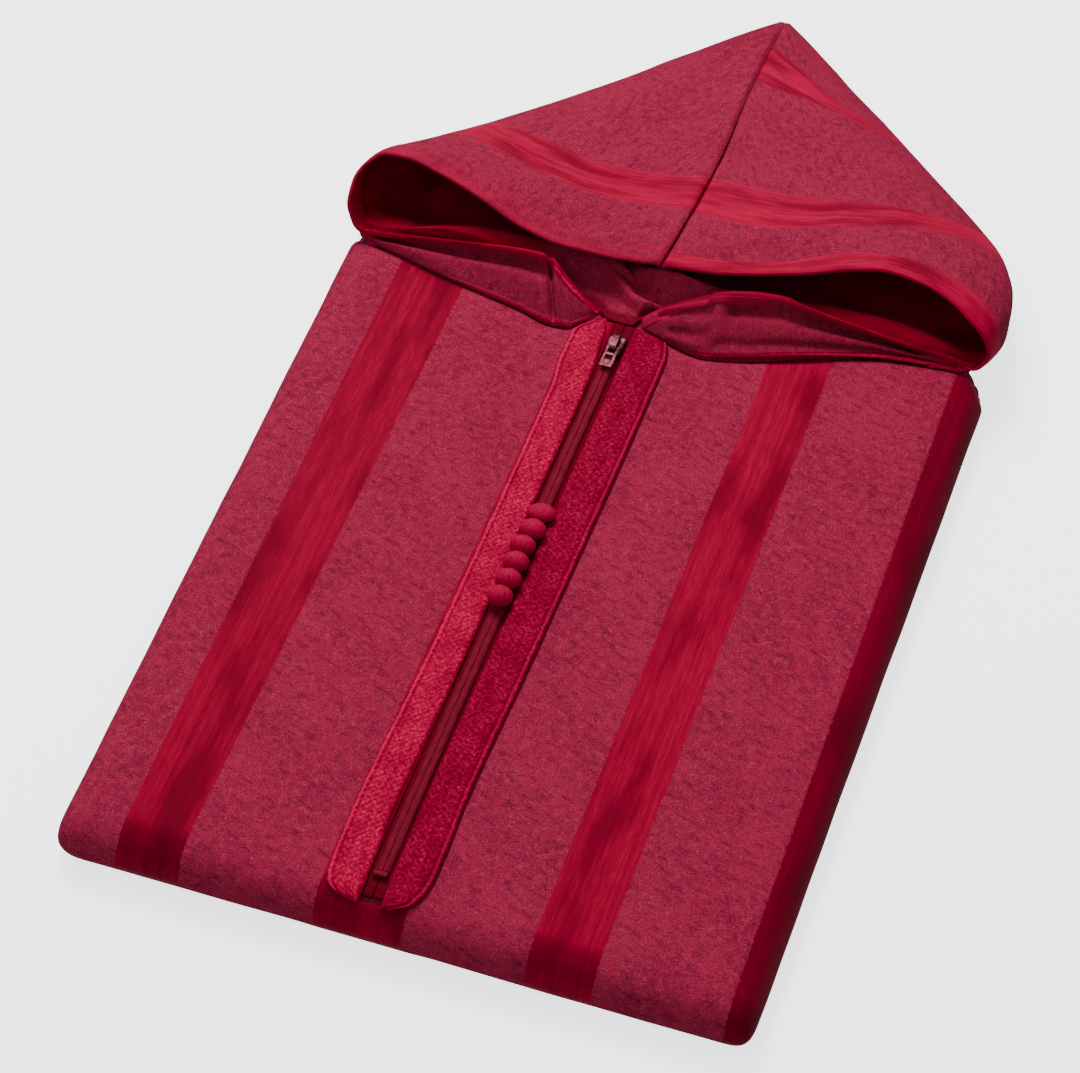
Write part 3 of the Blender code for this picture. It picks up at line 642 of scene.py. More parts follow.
def heather(nodes, place):
    """Colour, grain and raised fibres of the brushed wool-like ground, spun from light and dark fibres."""
    broad = nodes.noise(place, 30, 42, 20, roughness=0.55)
    mottle = nodes.noise(place, 3.6, 4.4, -15, 0.3, 2.5, 0.65)
    smudge = nodes.noise(place, 2.6, 9.0, 70, 0.9, 2.0, 0.6)
    grain = nodes.noise(place, 0.8, 0.8, 10, 0.8, 2.0, 0.7)
    ground = nodes.mix(nodes.between(broad, 0.3, 0.7), GROUND_DARK, GROUND)
    ground = nodes.tinted(ground, GROUND_RED, mottle, 0.38, 0.66, 0.0, 0.75)
    ground = nodes.tinted(ground, GROUND_DEEP, smudge, 0.3, 0.52, 0.6, 0.0)
    ground = nodes.tinted(ground, GROUND_LIGHT, grain, 0.42, 0.75, 0.0, 0.55)
    ground = nodes.tinted(ground, GROUND_DEEP, grain, 0.25, 0.5, 0.65, 0.0)
    light_fibre = 0.0
    for across, along, turn, thinness, offset in (
        (1, 3.2, 38, 0.024, 0.11),
        (1, 3, -52, 0.022, 0.57),
        (1.1, 4, 84, 0.020, 0.93),
    ):
        light_fibre = nodes.math(
            "MAXIMUM", light_fibre, fibres(nodes, place, across, along, turn, thinness, offset)
        )
    patchy = nodes.math("MULTIPLY", light_fibre, nodes.between(mottle, 0.35, 0.65, 0.12, 0.5))
    dark_fibre = fibres(nodes, place, 1.2, 4.0, 12, 0.022, 0.37)
    ground = nodes.mix(nodes.math("MULTIPLY", dark_fibre, 0.4), ground, GROUND_DEEP)
    return nodes.mix(patchy, ground, FIBRE), grain, light_fibre


def cloth_material(name, stripes, with_painted_shade=(), blur=0.5, satin_tones=BODY_SATIN, painted_shade_and_tone=0.0):
    """Heathered weave with satin stripes along its second direction. With painted-shade stripes given, those
    get painted shade, and so do all stripes where the cloth turns under the bottom fold.
    """
    nodes = Nodes(name)
    place = nodes.cloth_place()
    u, v = nodes.axes(place)
    ground, grain, light_fibre = heather(nodes, place)
    # Darkens the ground: painted shade on the collars, a darker tone on the hood.
    if painted_shade_and_tone:
        ground = nodes.mix(painted_shade_and_tone, ground, PAINTED_SHADE_AND_TONE)

    # The satin's fine streaks are the yarn's own; its broad dark patches are painted reflection of the
    # satin's sheen.
    streak = nodes.noise(place, 2.2, 110, 0, 0.21, 3.0, 0.65)
    patch = nodes.noise(place, 16, 60, 0, 0.67)
    yarn = nodes.noise(place, 0.5, 9, 0, 0.43, 2.0, 0.6)
    darker, brighter = satin_tones
    satin = nodes.mix(nodes.between(streak, 0.35, 0.65), darker, brighter)
    satin = nodes.tinted(satin, STRIPE_DARK, patch, 0.42, 0.72, 0.0, 0.7)
    satin = nodes.tinted(satin, STRIPE_DARK, yarn, 0.3, 0.7, 0.4, 0.0)
    # Darkens the listed stripes; on the body this is painted shade on the right side fold's edge stripe.
    if with_painted_shade:
        satin = nodes.mix(stripe_mask(nodes, place, with_painted_shade), satin, STRIPE_DARK)
        # Painted shade: the stripes darken over the bottom fold's turn, where the cloth rolls under.
        from_roll = nodes.math("ABSOLUTE", nodes.math("ADD", v, -ROLL_MIDDLE * MM))
        satin = nodes.tinted(satin, STRIPE_DARK, from_roll, 3 * MM, 11 * MM, 0.6, 0.0)

    in_stripe = stripe_mask(nodes, place, stripes, blur)
    color = nodes.mix(in_stripe, ground, satin)
    roughness = nodes.math("MULTIPLY_ADD", in_stripe, -0.3, nodes.between(grain, 0.3, 0.7, 0.95, 0.82))

    warp = nodes.math("SINE", nodes.math("MULTIPLY", u, math.tau / (0.9 * MM)))
    weft = nodes.math("SINE", nodes.math("MULTIPLY", v, math.tau / (0.9 * MM)))
    weave = nodes.math("MULTIPLY", warp, weft)
    nap = nodes.math("MULTIPLY_ADD", weave, 0.12, nodes.math("ADD", grain, light_fibre))
    rib = nodes.math("MULTIPLY_ADD", warp, 0.08, nodes.math("MULTIPLY", yarn, 0.7))
    height = nodes.new("ShaderNodeMix")
    nodes.put(height.inputs["Factor"], in_stripe)
    nodes.put(height.inputs["A"], nap)
    nodes.put(height.inputs["B"], rib)
    soft = nodes.bump(nodes.noise(place, 9, 12, 30, 0.5), 0.4, 1.0)
    normal = nodes.bump(height.outputs["Result"], 0.6, 0.3, soft)
    return nodes.finish(color, roughness, normal, 0.04, 0.08, DYED_GLOSS)


def lining_material(name, heather_reach=0.0):
    """The smooth dark inner side of the hood's cloth. Given a reach, it is heathered with painted shade
    within that reach of its middle, with a painted shadow along its front edge.
    """
    nodes = Nodes(name)
    place = nodes.cloth_place()
    streak = nodes.noise(place, 90, 3.0, 0, 0.3, 3.0, 0.6)
    grain = nodes.noise(place, 1.0, 1.3, 0, 0.8, 2.0, 0.6)
    cloudy = nodes.noise(place, 22, 30, 0, 0.1)
    color = nodes.mix(nodes.between(cloudy, 0.35, 0.7), LINING, LINING_DARK)
    color = nodes.tinted(color, STRIPE, streak, 0.4, 0.7, 0.0, 0.5)
    color = nodes.tinted(color, STRIPE_DARK, grain, 0.3, 0.6, 0.35, 0.0)
    if heather_reach:
        u, v = nodes.axes(place)
        near = nodes.between(v, (heather_reach - 15) * MM, heather_reach * MM, 1.0, 0.0)
        # Painted shade: the heathered neck cloth lies in the hood's shade.
        with_painted_shade = nodes.mix(NECK_PAINTED_SHADE, heather(nodes, place)[0], LINING_DARK)
        color = nodes.mix(near, color, with_painted_shade)
        # Painted shadow in the gap along the cloth's front edge, behind the collars' rims.
        painted_gap_shadow = nodes.between(u, NECK_GAP_PAINTED_SHADOW[0] * MM, NECK_GAP_PAINTED_SHADOW[1] * MM, 0.8, 0.0)
        color = nodes.mix(painted_gap_shadow, color, STRIPE_DARK)
    normal = nodes.bump(grain, 0.4, 0.25)
    return nodes.finish(color, nodes.between(grain, 0.3, 0.7, 0.7, 0.85), normal, 0.03, 0.08, DYED_GLOSS)


def embroidery_material(name, light, middle, dark):
    """Raised satin stitches with a little unevenness, and lines along the band's first edge: a light row of
    thread, painted shade in the groove and a dark edge line.
    """
    nodes = Nodes(name)
    place = nodes.cloth_place()
    u, v = nodes.axes(place)
    stitch = nodes.noise(place, 0.9, 1.9, 42, 0.2, 2.0, 0.6)
    crossing = nodes.noise(place, 0.9, 1.9, -42, 0.7, 2.0, 0.6)
    sway = nodes.math("MULTIPLY", nodes.noise(place, 5, 6, 0, 0.6), 7.0 * MM)
    rising = nodes.math("ADD", nodes.math("ADD", u, v), sway)
    falling = nodes.math("ADD", nodes.math("SUBTRACT", u, v), sway)
    waves = [nodes.math("MULTIPLY", slanted, math.pi / (STITCH_CELL * MM)) for slanted in (rising, falling)]
    rows = [nodes.math("ABSOLUTE", nodes.math("SINE", wave)) for wave in waves]
    lattice = nodes.between(nodes.math("MULTIPLY", *rows), 0.04, 0.42, 0.6, 0.0)
    worn = nodes.noise(place, 7, 18, 0, 0.4)
    blob = nodes.noise(place, 2.0, 2.4, 0, 0.9, 2.0, 0.6)
    share = nodes.between(nodes.math("MAXIMUM", stitch, crossing), 0.4, 0.7, 0.35, 1.0)
    color = nodes.mix(nodes.between(worn, 0.35, 0.7), light, middle)
    color = nodes.tinted(color, dark, blob, 0.36, 0.6, 0.6, 0.0)
    color = nodes.mix(nodes.math("SUBTRACT", 1.0, share), color, dark)
    color = nodes.mix(lattice, color, dark)
    wander = nodes.noise(place, 6, 9, 0, 0.15, 1.0)
    edge = nodes.math("MULTIPLY_ADD", nodes.math("SUBTRACT", wander, 0.5), 1.0 * MM, u)
    # The groove's dark line is painted shade in the braid's groove.
    for (middle_of_row, half), strength, row_color in (
        (THREAD_ROW, 0.4, light),
        (GROOVE, 0.6, dark),
        (EDGE_ROW, 0.7, dark),
    ):
        away = nodes.math("ABSOLUTE", nodes.math("SUBTRACT", edge, middle_of_row * MM))
        row = nodes.between(away, 0.3 * half * MM, half * MM, strength, 0.0)
        color = nodes.mix(row, color, row_color)
    normal = nodes.bump(nodes.math("ADD", stitch, crossing), 0.6, 0.35)
    roughness = nodes.between(worn, 0.3, 0.7, 0.55, 0.68)
    return nodes.finish(color, roughness, normal, 0.02, 0.05, DYED_GLOSS)


def tape_material():
    nodes = Nodes("zip_tape_weave")
    place = nodes.cloth_place()
    u, v = nodes.axes(place)
    twill = nodes.math("ADD", u, v)
    ribs = nodes.math("SINE", nodes.math("MULTIPLY", twill, math.tau / (0.7 * MM)))
    fuzz = nodes.noise(place, 0.6, 1.5)
    color = nodes.mix(nodes.between(fuzz, 0.3, 0.7), TAPE_DARK, TAPE)
    normal = nodes.bump(nodes.math("MULTIPLY_ADD", ribs, 0.3, fuzz), 0.5, 0.2)
    return nodes.finish(color, nodes.between(fuzz, 0.3, 0.7, 0.75, 0.9), normal, 0.03, 0.08, DYED_GLOSS)


def coil_material():
    nodes = Nodes("zip_coil_nylon")
    place = nodes.cloth_place()
    cloudy = nodes.noise(place, 1.0, 6.0)
    color = nodes.mix(nodes.between(cloudy, 0.3, 0.7), COIL_DARK, COIL)
    normal = nodes.bump(cloudy, 0.2, 0.1)
    roughness = nodes.between(cloudy, 0.3, 0.7, 0.5, 0.65)
    return nodes.finish(color, roughness, normal, 0.0, 0.09, NYLON_GLOSS)


def thread_material():
    """Wound shiny thread of the ball buttons."""
    nodes = Nodes("wound_thread")
    place = nodes.cloth_place()
    strand = nodes.noise(place, 3.0, 0.35, roughness=0.6)
    worn = nodes.noise(place, 3.0, 4.0, 0, 0.6)
    color = nodes.mix(nodes.between(strand, 0.3, 0.7), THREAD_DARK, THREAD)
    color = nodes.tinted(color, THREAD_DARK, worn, 0.45, 0.8, 0.0, 0.4)
    normal = nodes.bump(strand, 0.5, 0.25)
    return nodes.finish(color, nodes.between(strand, 0.3, 0.7, 0.5, 0.65), normal, 0.05, 0.14, DYED_GLOSS)


def metal_material():
    """Lacquered zip metal: small scratches and worn, brighter patches."""
    nodes = Nodes("lacquered_zip_metal")
    coordinates = nodes.new("ShaderNodeTexCoord").outputs["Object"]
    scratch = nodes.noise(coordinates, 0.4, 4.0, 25, detail=3.0, roughness=0.7)
    patch = nodes.noise(coordinates, 2.0, 2.6)
    color = nodes.mix(nodes.between(patch, 0.35, 0.65), METAL_DARK, METAL)
    roughness = nodes.between(scratch, 0.3, 0.75, 0.36, 0.52)
    return nodes.finish(color, roughness, nodes.bump(scratch, 0.15, 0.08), metallic=0.95)


def floor_material():
    nodes = Nodes("pale_floor")
    coordinates = nodes.new("ShaderNodeTexCoord").outputs["Object"]
    speck = nodes.noise(coordinates, 260, 260)
    color = nodes.mix(nodes.between(speck, 0.3, 0.7), *FLOOR_TONES)
    nodes.shader.inputs["Emission Color"].default_value = (1, 1, 1, 1)
    nodes.shader.inputs["Emission Strength"].default_value = FLOOR_GLOW
    return nodes.finish(color, 0.8, nodes.bump(speck, 0.02, 1.0), specular=0.1)


# The folded bundle


def half_width(y):
    return HEM_HALF_WIDTH + (SHOULDER_HALF_WIDTH - HEM_HALF_WIDTH) * y / LENGTH


def crown(x, y):
    flat = half_width(y) - CORNER_RADIUS
    across = np.maximum(0.0, 1 - (x / flat) ** 2)
    return CROWN * across * smooth_step((y - CORNER_RADIUS) / (4 * CORNER_RADIUS))


def roll(level):
    """Inset from the outline and height on the folds' roll: 0 at its flat top, 12 below the bundle."""
    return table_at(EDGE_ROLL, 0, level), BUNDLE_HEIGHT * table_at(EDGE_ROLL, 1, level)


def front_height(x, y):
    insets = table_column(EDGE_ROLL[:7], 0)[::-1]
    shares = table_column(EDGE_ROLL[:7], 1)[::-1]
    return BUNDLE_HEIGHT * eased(insets, shares, np.minimum(y, CORNER_RADIUS)) + crown(x, y)


def neckline(x):
    points = list(SHOULDER_SLOPE[:3])
    points += [row[:2] for row in HOOD_FRONT["left"] + HOOD_FRONT["right"]]
    points += list(SHOULDER_SLOPE[3:])
    return eased(table_column(points, 0), table_column(points, 1), x)


def rounded_plan(x, y):
    """Moves points near a bottom corner of the bundle's rectangle onto its rounded corner."""
    across = np.abs(x) - (half_width(y) - CORNER_RADIUS)
    along = CORNER_RADIUS - y
    power = np.where(x < 0, CORNER_SQUARENESS["left"], CORNER_SQUARENESS["right"])
    safe_across = np.maximum(across, 1e-9)
    safe_along = np.maximum(along, 1e-9)
    rounded = (safe_across**power + safe_along**power) ** (1 / power)
    shrink = np.maximum(safe_across, safe_along) / rounded
    shrink = np.where((across > 0) & (along > 0), shrink, 1.0)
    moved_x = np.sign(x) * (np.abs(x) - safe_across * (1 - shrink))
    return np.where(shrink < 1, moved_x, x), np.where(shrink < 1, y + safe_along * (1 - shrink), y)


FRONT_CREASES = (
    # start x, y, end x, y, half width, rise
    (-46, 318, -40, 215, 8, -0.55),
    (-62, 300, -54, 225, 10, 0.40),
    (-44, 345, -70, 322, 6, -0.55),
    (-70, 350, -100, 338, 8, 0.35),
    (23, 280, 30, 205, 8, -0.55),
    (42, 290, 70, 236, 10, 0.45),
    (30, 335, 62, 305, 7, -0.45),
    (48, 350, 90, 330, 9, 0.35),
    (20, 150, 26, 110, 7, -0.35),
    (-46, 130, -50, 70, 9, -0.35),
    (-146, 330, -132, 250, 10, 0.45),
    (-150, 240, -140, 160, 9, -0.35),
    (120, 340, 136, 250, 10, -0.40),
    (112, 200, 128, 110, 12, 0.40),
    (-90, 40, -60, 26, 9, -0.35),
    (40, 46, 110, 30, 9, 0.35),
)


def front_panel(material):
    """The robe's front, its side folds and its bottom fold, as one thin sheet."""
    last = len(EDGE_ROLL) - 1
    ring = np.linspace(last, 0, 34)[:-1]
    left_share = np.linspace(0, 1, 58)
    right_share = np.linspace(0, 1, 72)
    row_share = np.linspace(0, 1, 150)
    slit_left = ZIP_X - SLIT_HALF_WIDTH
    slit_right = ZIP_X + SLIT_HALF_WIDTH

    def row_x(y):
        outline = half_width(y)
        flat = outline - CORNER_RADIUS
        inset = roll(ring)[0]
        left = -flat[0] + left_share * (slit_left + flat[0])
        right = slit_right + right_share * (flat[-1] - slit_right)
        left_fold = inset - outline[: len(ring)]
        right_fold = outline[-len(ring) :] - inset[::-1]
        return np.concatenate([left_fold, left, right, right_fold])

    count = 2 * len(ring) + len(left_share) + len(right_share)
    levels = np.concatenate([ring, np.zeros(len(left_share) + len(right_share)), ring[::-1]])
    top = []
    for share in row_share:
        y = np.full(count, LENGTH)
        for _ in range(3):
            y = neckline(row_x(y)) - 1.5 * SEAM_GAP
        y = CORNER_RADIUS + share * (y - CORNER_RADIUS)
        x = row_x(y)
        top.append(np.stack([x, y, roll(levels)[1] + crown(x, y)], -1))
    bottom = []
    side = np.sign(np.arange(count) - count / 2)
    for row_level in ring:
        level = np.maximum(row_level, levels)
        inset, height = roll(level)
        reach = CORNER_RADIUS - inset
        y_ring = CORNER_RADIUS - reach * row_level / np.maximum(level, 1e-9)
        x_ring = side * (half_width(y_ring) - CORNER_RADIUS + reach * levels / np.maximum(level, 1e-9))
        x_ring, y_ring = rounded_plan(x_ring, y_ring)
        y_flat = np.full(count, CORNER_RADIUS - reach[len(ring)])
        x_flat = row_x(y_flat)
        in_ring = levels > 0
        x = np.where(in_ring, x_ring, x_flat)
        y = np.where(in_ring, y_ring, y_flat)
        bottom.append(np.stack([x, y, height], -1))
    points = np.array(bottom + top)
    slit_column = len(ring) + len(left_share) - 1
    across = distances(points * (1, 0, 1), 1)
    x, y = points[..., 0], points[..., 1]
    spread = np.interp(x, *np.transpose(STRIPE_SPREAD))
    u = across - across[:, slit_column, None] + slit_left - spread * (y - STRIPE_MIDDLE_Y)
    v = distances(points, 0) - 2 * CORNER_RADIUS
    square = directions(points)
    from_seam = neckline(x) - y
    on_top = smooth_step(points[..., 2] / BUNDLE_HEIGHT * 2 - 0.6)
    off_table = smooth_step(points[..., 2] / 4)
    rise = creases(FRONT_CREASES, x, y) + 0.35 * ripple(x, y, 48, 1.7) + 0.12 * ripple(x, y, 14, 4.1)
    rise = on_top * rise - 0.9 * on_top * np.exp(-((from_seam / 1.6) ** 2))
    rise += off_table * (1 - on_top) * 0.5 * ripple(x, y + 2 * points[..., 2], 30, 8.3)
    under_braid = smooth_step((np.abs(x - ZIP_X + 1) - 20) / 6)
    points = points + square * (rise * under_braid)[..., None]
    missing = np.zeros((points.shape[0] - 1, points.shape[1] - 1), bool)
    open_from = int(np.argmax(points[:, slit_column, 1] > 9.5))
    top_side = np.arange(points.shape[0] - 1) >= max(open_from, len(ring) - 6)
    missing[top_side, slit_column] = True
    piece = thicken(grid_piece("robe_front", points, np.stack([u, v], -1), material, missing))
    stand_for(piece, "front_panel")


def layer_nose(height):
    phase = (height / (BUNDLE_HEIGHT - CAD_CLOTH) * LAYERS) % 1
    return LAYER_NOSE * (1 - np.sqrt(np.maximum(0.0, 1 - (2 * phase - 1) ** 2)))


def folded_layers(material):
    """The cloth folded inside the front: one rounded solid whose end shows the layers' folds."""
    away = CAD_CLOTH + 2 * SEAM_GAP
    levels = np.linspace(0, 11, 56)
    inset, height = roll(levels)
    run = np.stack([np.gradient(inset), np.gradient(height)], -1)
    run /= np.linalg.norm(run, axis=1, keepdims=True)
    insets = inset - away * run[:, 1]
    heights = height + away * run[:, 0]
    insets[0], heights[0] = CORNER_RADIUS, BUNDLE_HEIGHT - away
    insets[-1], heights[-1] = 16.0 + SEAM_GAP, away
    insets = np.append(insets, 16.0 + SEAM_GAP)
    heights = np.append(np.maximum(heights, away), 0.0)
    shares_x = np.linspace(0, 1, 90)
    shares_y = np.concatenate([np.linspace(0, 0.9, 22), np.linspace(0.93, 1, 8)])
    index = {}
    points = []
    uvs = []
    faces = []

    def place(i, j, k):
        x = (2 * shares_x[i] - 1) * (half_width(shares_y[j] * LAYERS_END) - insets[k])
        start = LAYERS_CORNER["left" if x < 0 else "right"]
        end = LAYERS_END - LAYERS_CORNER_SLOPE * max(0.0, abs(x) - start)
        level = heights[k] + 0.8 * noise.noise(Vector((x / 60, 0, 3.1)))
        end -= float(layer_nose(level)) if j == len(shares_y) - 1 else LAYER_NOSE
        y = insets[k] + shares_y[j] * (end - insets[k])
        x, y = (float(value) for value in rounded_plan(np.array(x), np.array(y)))
        z = heights[k] + (float(crown(x, y)) if k == 0 else 0.0)
        return x, y, z

    def corner(i, j, k):
        if (i, j, k) not in index:
            index[i, j, k] = len(points)
            points.append(place(i, j, k))
            uvs.append((points[-1][0] + 47, points[-1][1] + points[-1][2]))
        return index[i, j, k]

    def side(steps_u, steps_v, at):
        for u in range(steps_u):
            for v in range(steps_v):
                faces.append([corner(*at(u + du, v + dv)) for du, dv in ((0, 0), (1, 0), (1, 1), (0, 1))])

    wide, long, deep = len(shares_x) - 1, len(shares_y) - 1, len(heights) - 1
    side(wide, long, lambda u, v: (u, v, 0))
    side(wide, long, lambda u, v: (wide - u, v, deep))
    side(wide, deep, lambda u, v: (u, 0, deep - v))
    side(wide, deep, lambda u, v: (wide - u, long, deep - v))
    side(long, deep, lambda u, v: (0, long - u, deep - v))
    side(long, deep, lambda u, v: (wide, u, deep - v))
    face_uvs = [uvs[number] for face in faces for number in face]
    piece = new_piece("inner_folds", points, faces, face_uvs, material)
    stand_for(piece, "folded_layers")


# Zip, braids and buttons


def strip_grid(table, across_shares, spacing):
    """Points on the robe's front across a trim with a table of edges, and the way up from them."""
    table = np.array(table, float)
    reach = np.concatenate([[0], np.cumsum(np.abs(np.diff(table[:, 1])))])
    stations = np.linspace(0, reach[-1], max(2, int(reach[-1] / spacing) + 1))
    edges = [eased(reach, table[:, column], stations)[:, None] for column in range(4)]
    left_x, left_y, right_x, right_y = edges
    share = np.asarray(across_shares)[None, :]
    x = left_x + share * (right_x - left_x)
    y = left_y + share * (right_y - left_y)
    slope = (front_height(x, y + 1.5) - front_height(x, y - 1.5)) / 3
    length = np.sqrt(1 + slope**2)
    lift = np.stack([np.zeros_like(x), -slope / length, 1 / length], -1)
    return np.stack([x, y, front_height(x, y)], -1), lift


def pebbles(across, along):
    """Relief of the braid's crossed rows of satin stitches."""
    wander = 0.5 * ripple(across, along, 9.0, 5.2)
    first = np.abs(np.sin(math.pi * (across + along + wander) / STITCH_CELL))
    second = np.abs(np.sin(math.pi * (across - along + wander) / STITCH_CELL))
    return 0.9 * np.sqrt(first * second) + 0.7 * ripple(across, along, 1.7, 2.2)


def braid(name, table, outer, material):
    shares = np.linspace(0, 1, 41)
    base, lift = strip_grid(table, shares, BRAID_STEP)
    width = np.linalg.norm(base[:, -1] - base[:, 0], axis=1)[:, None]
    across = shares[None, :] * width
    if outer == "right":
        across = width - across
    along = base[:, :1, 1] + 0 * across
    row_of_thread = 0.4 * np.exp(-(((across - THREAD_ROW[0]) / THREAD_ROW[1]) ** 2))
    groove = 1.1 * np.exp(-(((across - GROOVE[0]) / GROOVE[1]) ** 2))
    relief = pebbles(across, along) + row_of_thread - groove
    edge = np.minimum(shares, 1 - shares)[None, :] * width
    row = np.arange(base.shape[0])[:, None] * BRAID_STEP
    edge = np.minimum(edge, row)
    rounding = np.sqrt(np.clip(1 - (1 - np.clip(edge / 1.9, 0, 1)) ** 2, 0, 1))
    height = 0.4 + rounding * (BRAID_THICKNESS - 0.2 + 0.42 * relief)
    height = height - (BRAID_THICKNESS - 0.6) * smooth_step(1 - row[::-1] / 7.0)
    points = base + lift * height[..., None]
    uvs = np.stack([across, along], -1)
    piece = grid_piece(name, points, uvs, material)
    return piece


def braids():
    """The embroidered braids along the zip, and the bands that go on from them over the collar."""
    left = embroidery_material("embroidery_left", BRAID_LIGHT, BRAID_MIDDLE, BRAID_DARK)
    # Painted shade: the right braid and the right seam band take a darker copy of the same embroidery.
    right = embroidery_material("embroidery_in_painted_shade", BRAID_MIDDLE, BRAID_PAINTED_SHADE, BRAID_DEEP_PAINTED_SHADE)
    # A duller, darker copy of the braid's colours for two of the collar bands.
    dull_darker = embroidery_material("embroidery_collar", BRAID_MIDDLE, GROUND_RED, GROUND_DARK)
    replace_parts(braid("braid_trim_left", LEFT_BRAID, "left", left), "braid_left")
    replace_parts(braid("braid_trim_right", RIGHT_BRAID, "right", right), "braid_right")
    collar_trim("seam_trim_left", dull_darker)
    collar_trim("seam_trim_right", right)
    collar_trim("rim_trim_left", left)
    collar_trim("rim_trim_right", dull_darker)


def straight_table(left_x, right_x, stations):
    return [(left_x, y, right_x, y) for y in stations]


def zip_tapes(material):
    for name, side in (("left", -1), ("right", 1)):
        middle = ZIP_X + side * 0.2
        outside = ZIP_X + side * (SLIT_HALF_WIDTH - SEAM_GAP)
        table = straight_table(min(middle, outside), max(middle, outside), (11.0, 14.5, 20.0, 60.0, 362.8))
        base, lift = strip_grid(table, np.linspace(0, 1, 6), 1.6)
        sag = TAPE_FACE + 0.12 * ripple(base[..., 0] * 2, base[..., 1], 9, 5.0)
        points = base + lift * sag[..., None]
        piece = thicken(grid_piece(f"tape_{name}", points, base[..., :2], material), TAPE_THICKNESS)
        stand_for(piece, f"zip_tape_{name}")


def zip_coils(material):
    """Two rows of coil turns that mesh in the middle."""
    for name, side in (("left", -1), ("right", 1)):
        inside = ZIP_X + side * 0.06
        outside = inside + side * COIL_WIDTH
        table = straight_table(min(inside, outside), max(inside, outside), (COIL_START, 60.0, COIL_END))
        from_inside = np.array((0, 0.012, 0.15, 0.32, 0.5, 0.68, 0.84, 0.95, 1))
        shares = from_inside if side > 0 else 1 - from_inside[::-1]
        base, lift = strip_grid(table, shares, COIL_PITCH / 6)
        along = base[..., 1] + 0.18 * (base[..., 0] - ZIP_X) * side
        phase = along / COIL_PITCH + (0.5 if side > 0 else 0.0)
        turn = np.sqrt(np.clip(1 - (2 * (phase % 1) - 1) ** 2, 0, 1))
        dome = np.clip(1 - from_inside**5, 0, 1)
        dome[0] = 0
        dome = dome if side > 0 else dome[::-1]
        height = TAPE_FACE + 0.3 + (COIL_HEIGHT - 0.9) * np.sqrt(dome) + 0.4 * turn * dome
        height[0] = height[-1] = TAPE_FACE + 0.2
        points = base + lift * height[..., None]
        piece = grid_piece(f"coil_{name}", points, base[..., :2], material)
        stand_for(piece, f"zip_coil_{name}")


def ball_button(name, size, centre, twist, material):
    """A ball of wound thread: strands run over it in slanting courses, and its underside is a little
    flattened.
    """
    rings, segments = 36, 56
    polar = np.linspace(0.02, math.pi - 0.02, rings)[:, None]
    turn = np.linspace(0, math.tau, segments + 1)[None, :]
    x = np.cos(polar) + 0 * turn
    y = np.sin(polar) * np.cos(turn)
    z = np.sin(polar) * np.sin(turn)
    course = 7.0 * polar / math.pi + 1.2 * np.sin(turn + twist) + 0.3 * np.sin(2 * turn)
    strand = np.abs(np.sin(math.pi * course))
    radius = 0.965 + 0.035 * np.sqrt(strand)
    flat = 1 - 0.05 * smooth_step((-z - 0.6) / 0.4)
    points = np.stack([x * radius, y * radius, z * radius * flat], -1) * np.array(size) / 2
    points = points + np.array(centre)
    uvs = np.stack([turn * size[1] / 2 + 0 * polar, course * 1.6], -1)
    piece = grid_piece(name, points[:, ::-1], uvs[:, ::-1], material)
    return piece


def ball_buttons(material):
    for number, (x, y, width, length, height) in enumerate(KNOTS, 1):
        base = float(front_height(x, y)) + TAPE_FACE + SEAM_GAP + COIL_HEIGHT + SEAM_GAP
        centre = (x, y, base + height / 2)
        piece = ball_button(f"ball_{number}", (width + 0.4, length, height), centre, 0.9 * number, material)
        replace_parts(piece, f"knot_{number}")


# The hood


def hood_measures(y, columns):
    """Some columns of the hood's table at a distance y from the bottom fold."""
    ys = table_column(HOOD_STATIONS, 0)
    return [float(eased(ys, table_column(HOOD_STATIONS, column), y)) for column in columns]


def hood_section(y, side):
    """Half of the hood's outer section, from the centre seam over the side fold to the tucked foot."""
    columns = (FOLD_COLUMN[side], 2, 4, 5, 6, 7)
    fold_x, seam_x, seam_z, ridge_z, foot_z, tuck = hood_measures(y, columns)
    inward = math.copysign(1, seam_x - fold_x)
    widest_z = foot_z + WIDEST_SHARE * (ridge_z - foot_z)
    angle = np.linspace(0, math.pi / 2, 81)
    share = np.sin(angle) ** (2 / SECTION_SQUARENESS)
    fall = np.maximum(np.cos(angle), 0) ** (2 / SECTION_SQUARENESS)
    top_z = seam_z + (ridge_z - seam_z) * smooth_step(share / RIDGE_SHARE)
    over = (seam_x + share * (fold_x - seam_x), np.full_like(share, y), widest_z + (top_z - widest_z) * fall)
    angle = angle[1:]
    tucked_x = fold_x + inward * tuck * (1 - np.cos(angle))
    under = (tucked_x, np.full_like(angle, y), widest_z - (widest_z - foot_z) * np.sin(angle))
    return np.concatenate([np.stack(over, -1), np.stack(under, -1)])


def mouth_edge(side):
    edge = np.array(MOUTH_EDGE[side], float)
    reach = np.concatenate([[0], np.cumsum(np.linalg.norm(np.diff(edge, axis=0), axis=1))])
    fine = np.linspace(0, reach[-1], 260)
    return np.stack([eased(reach, edge[:, axis], fine) for axis in range(3)], -1)


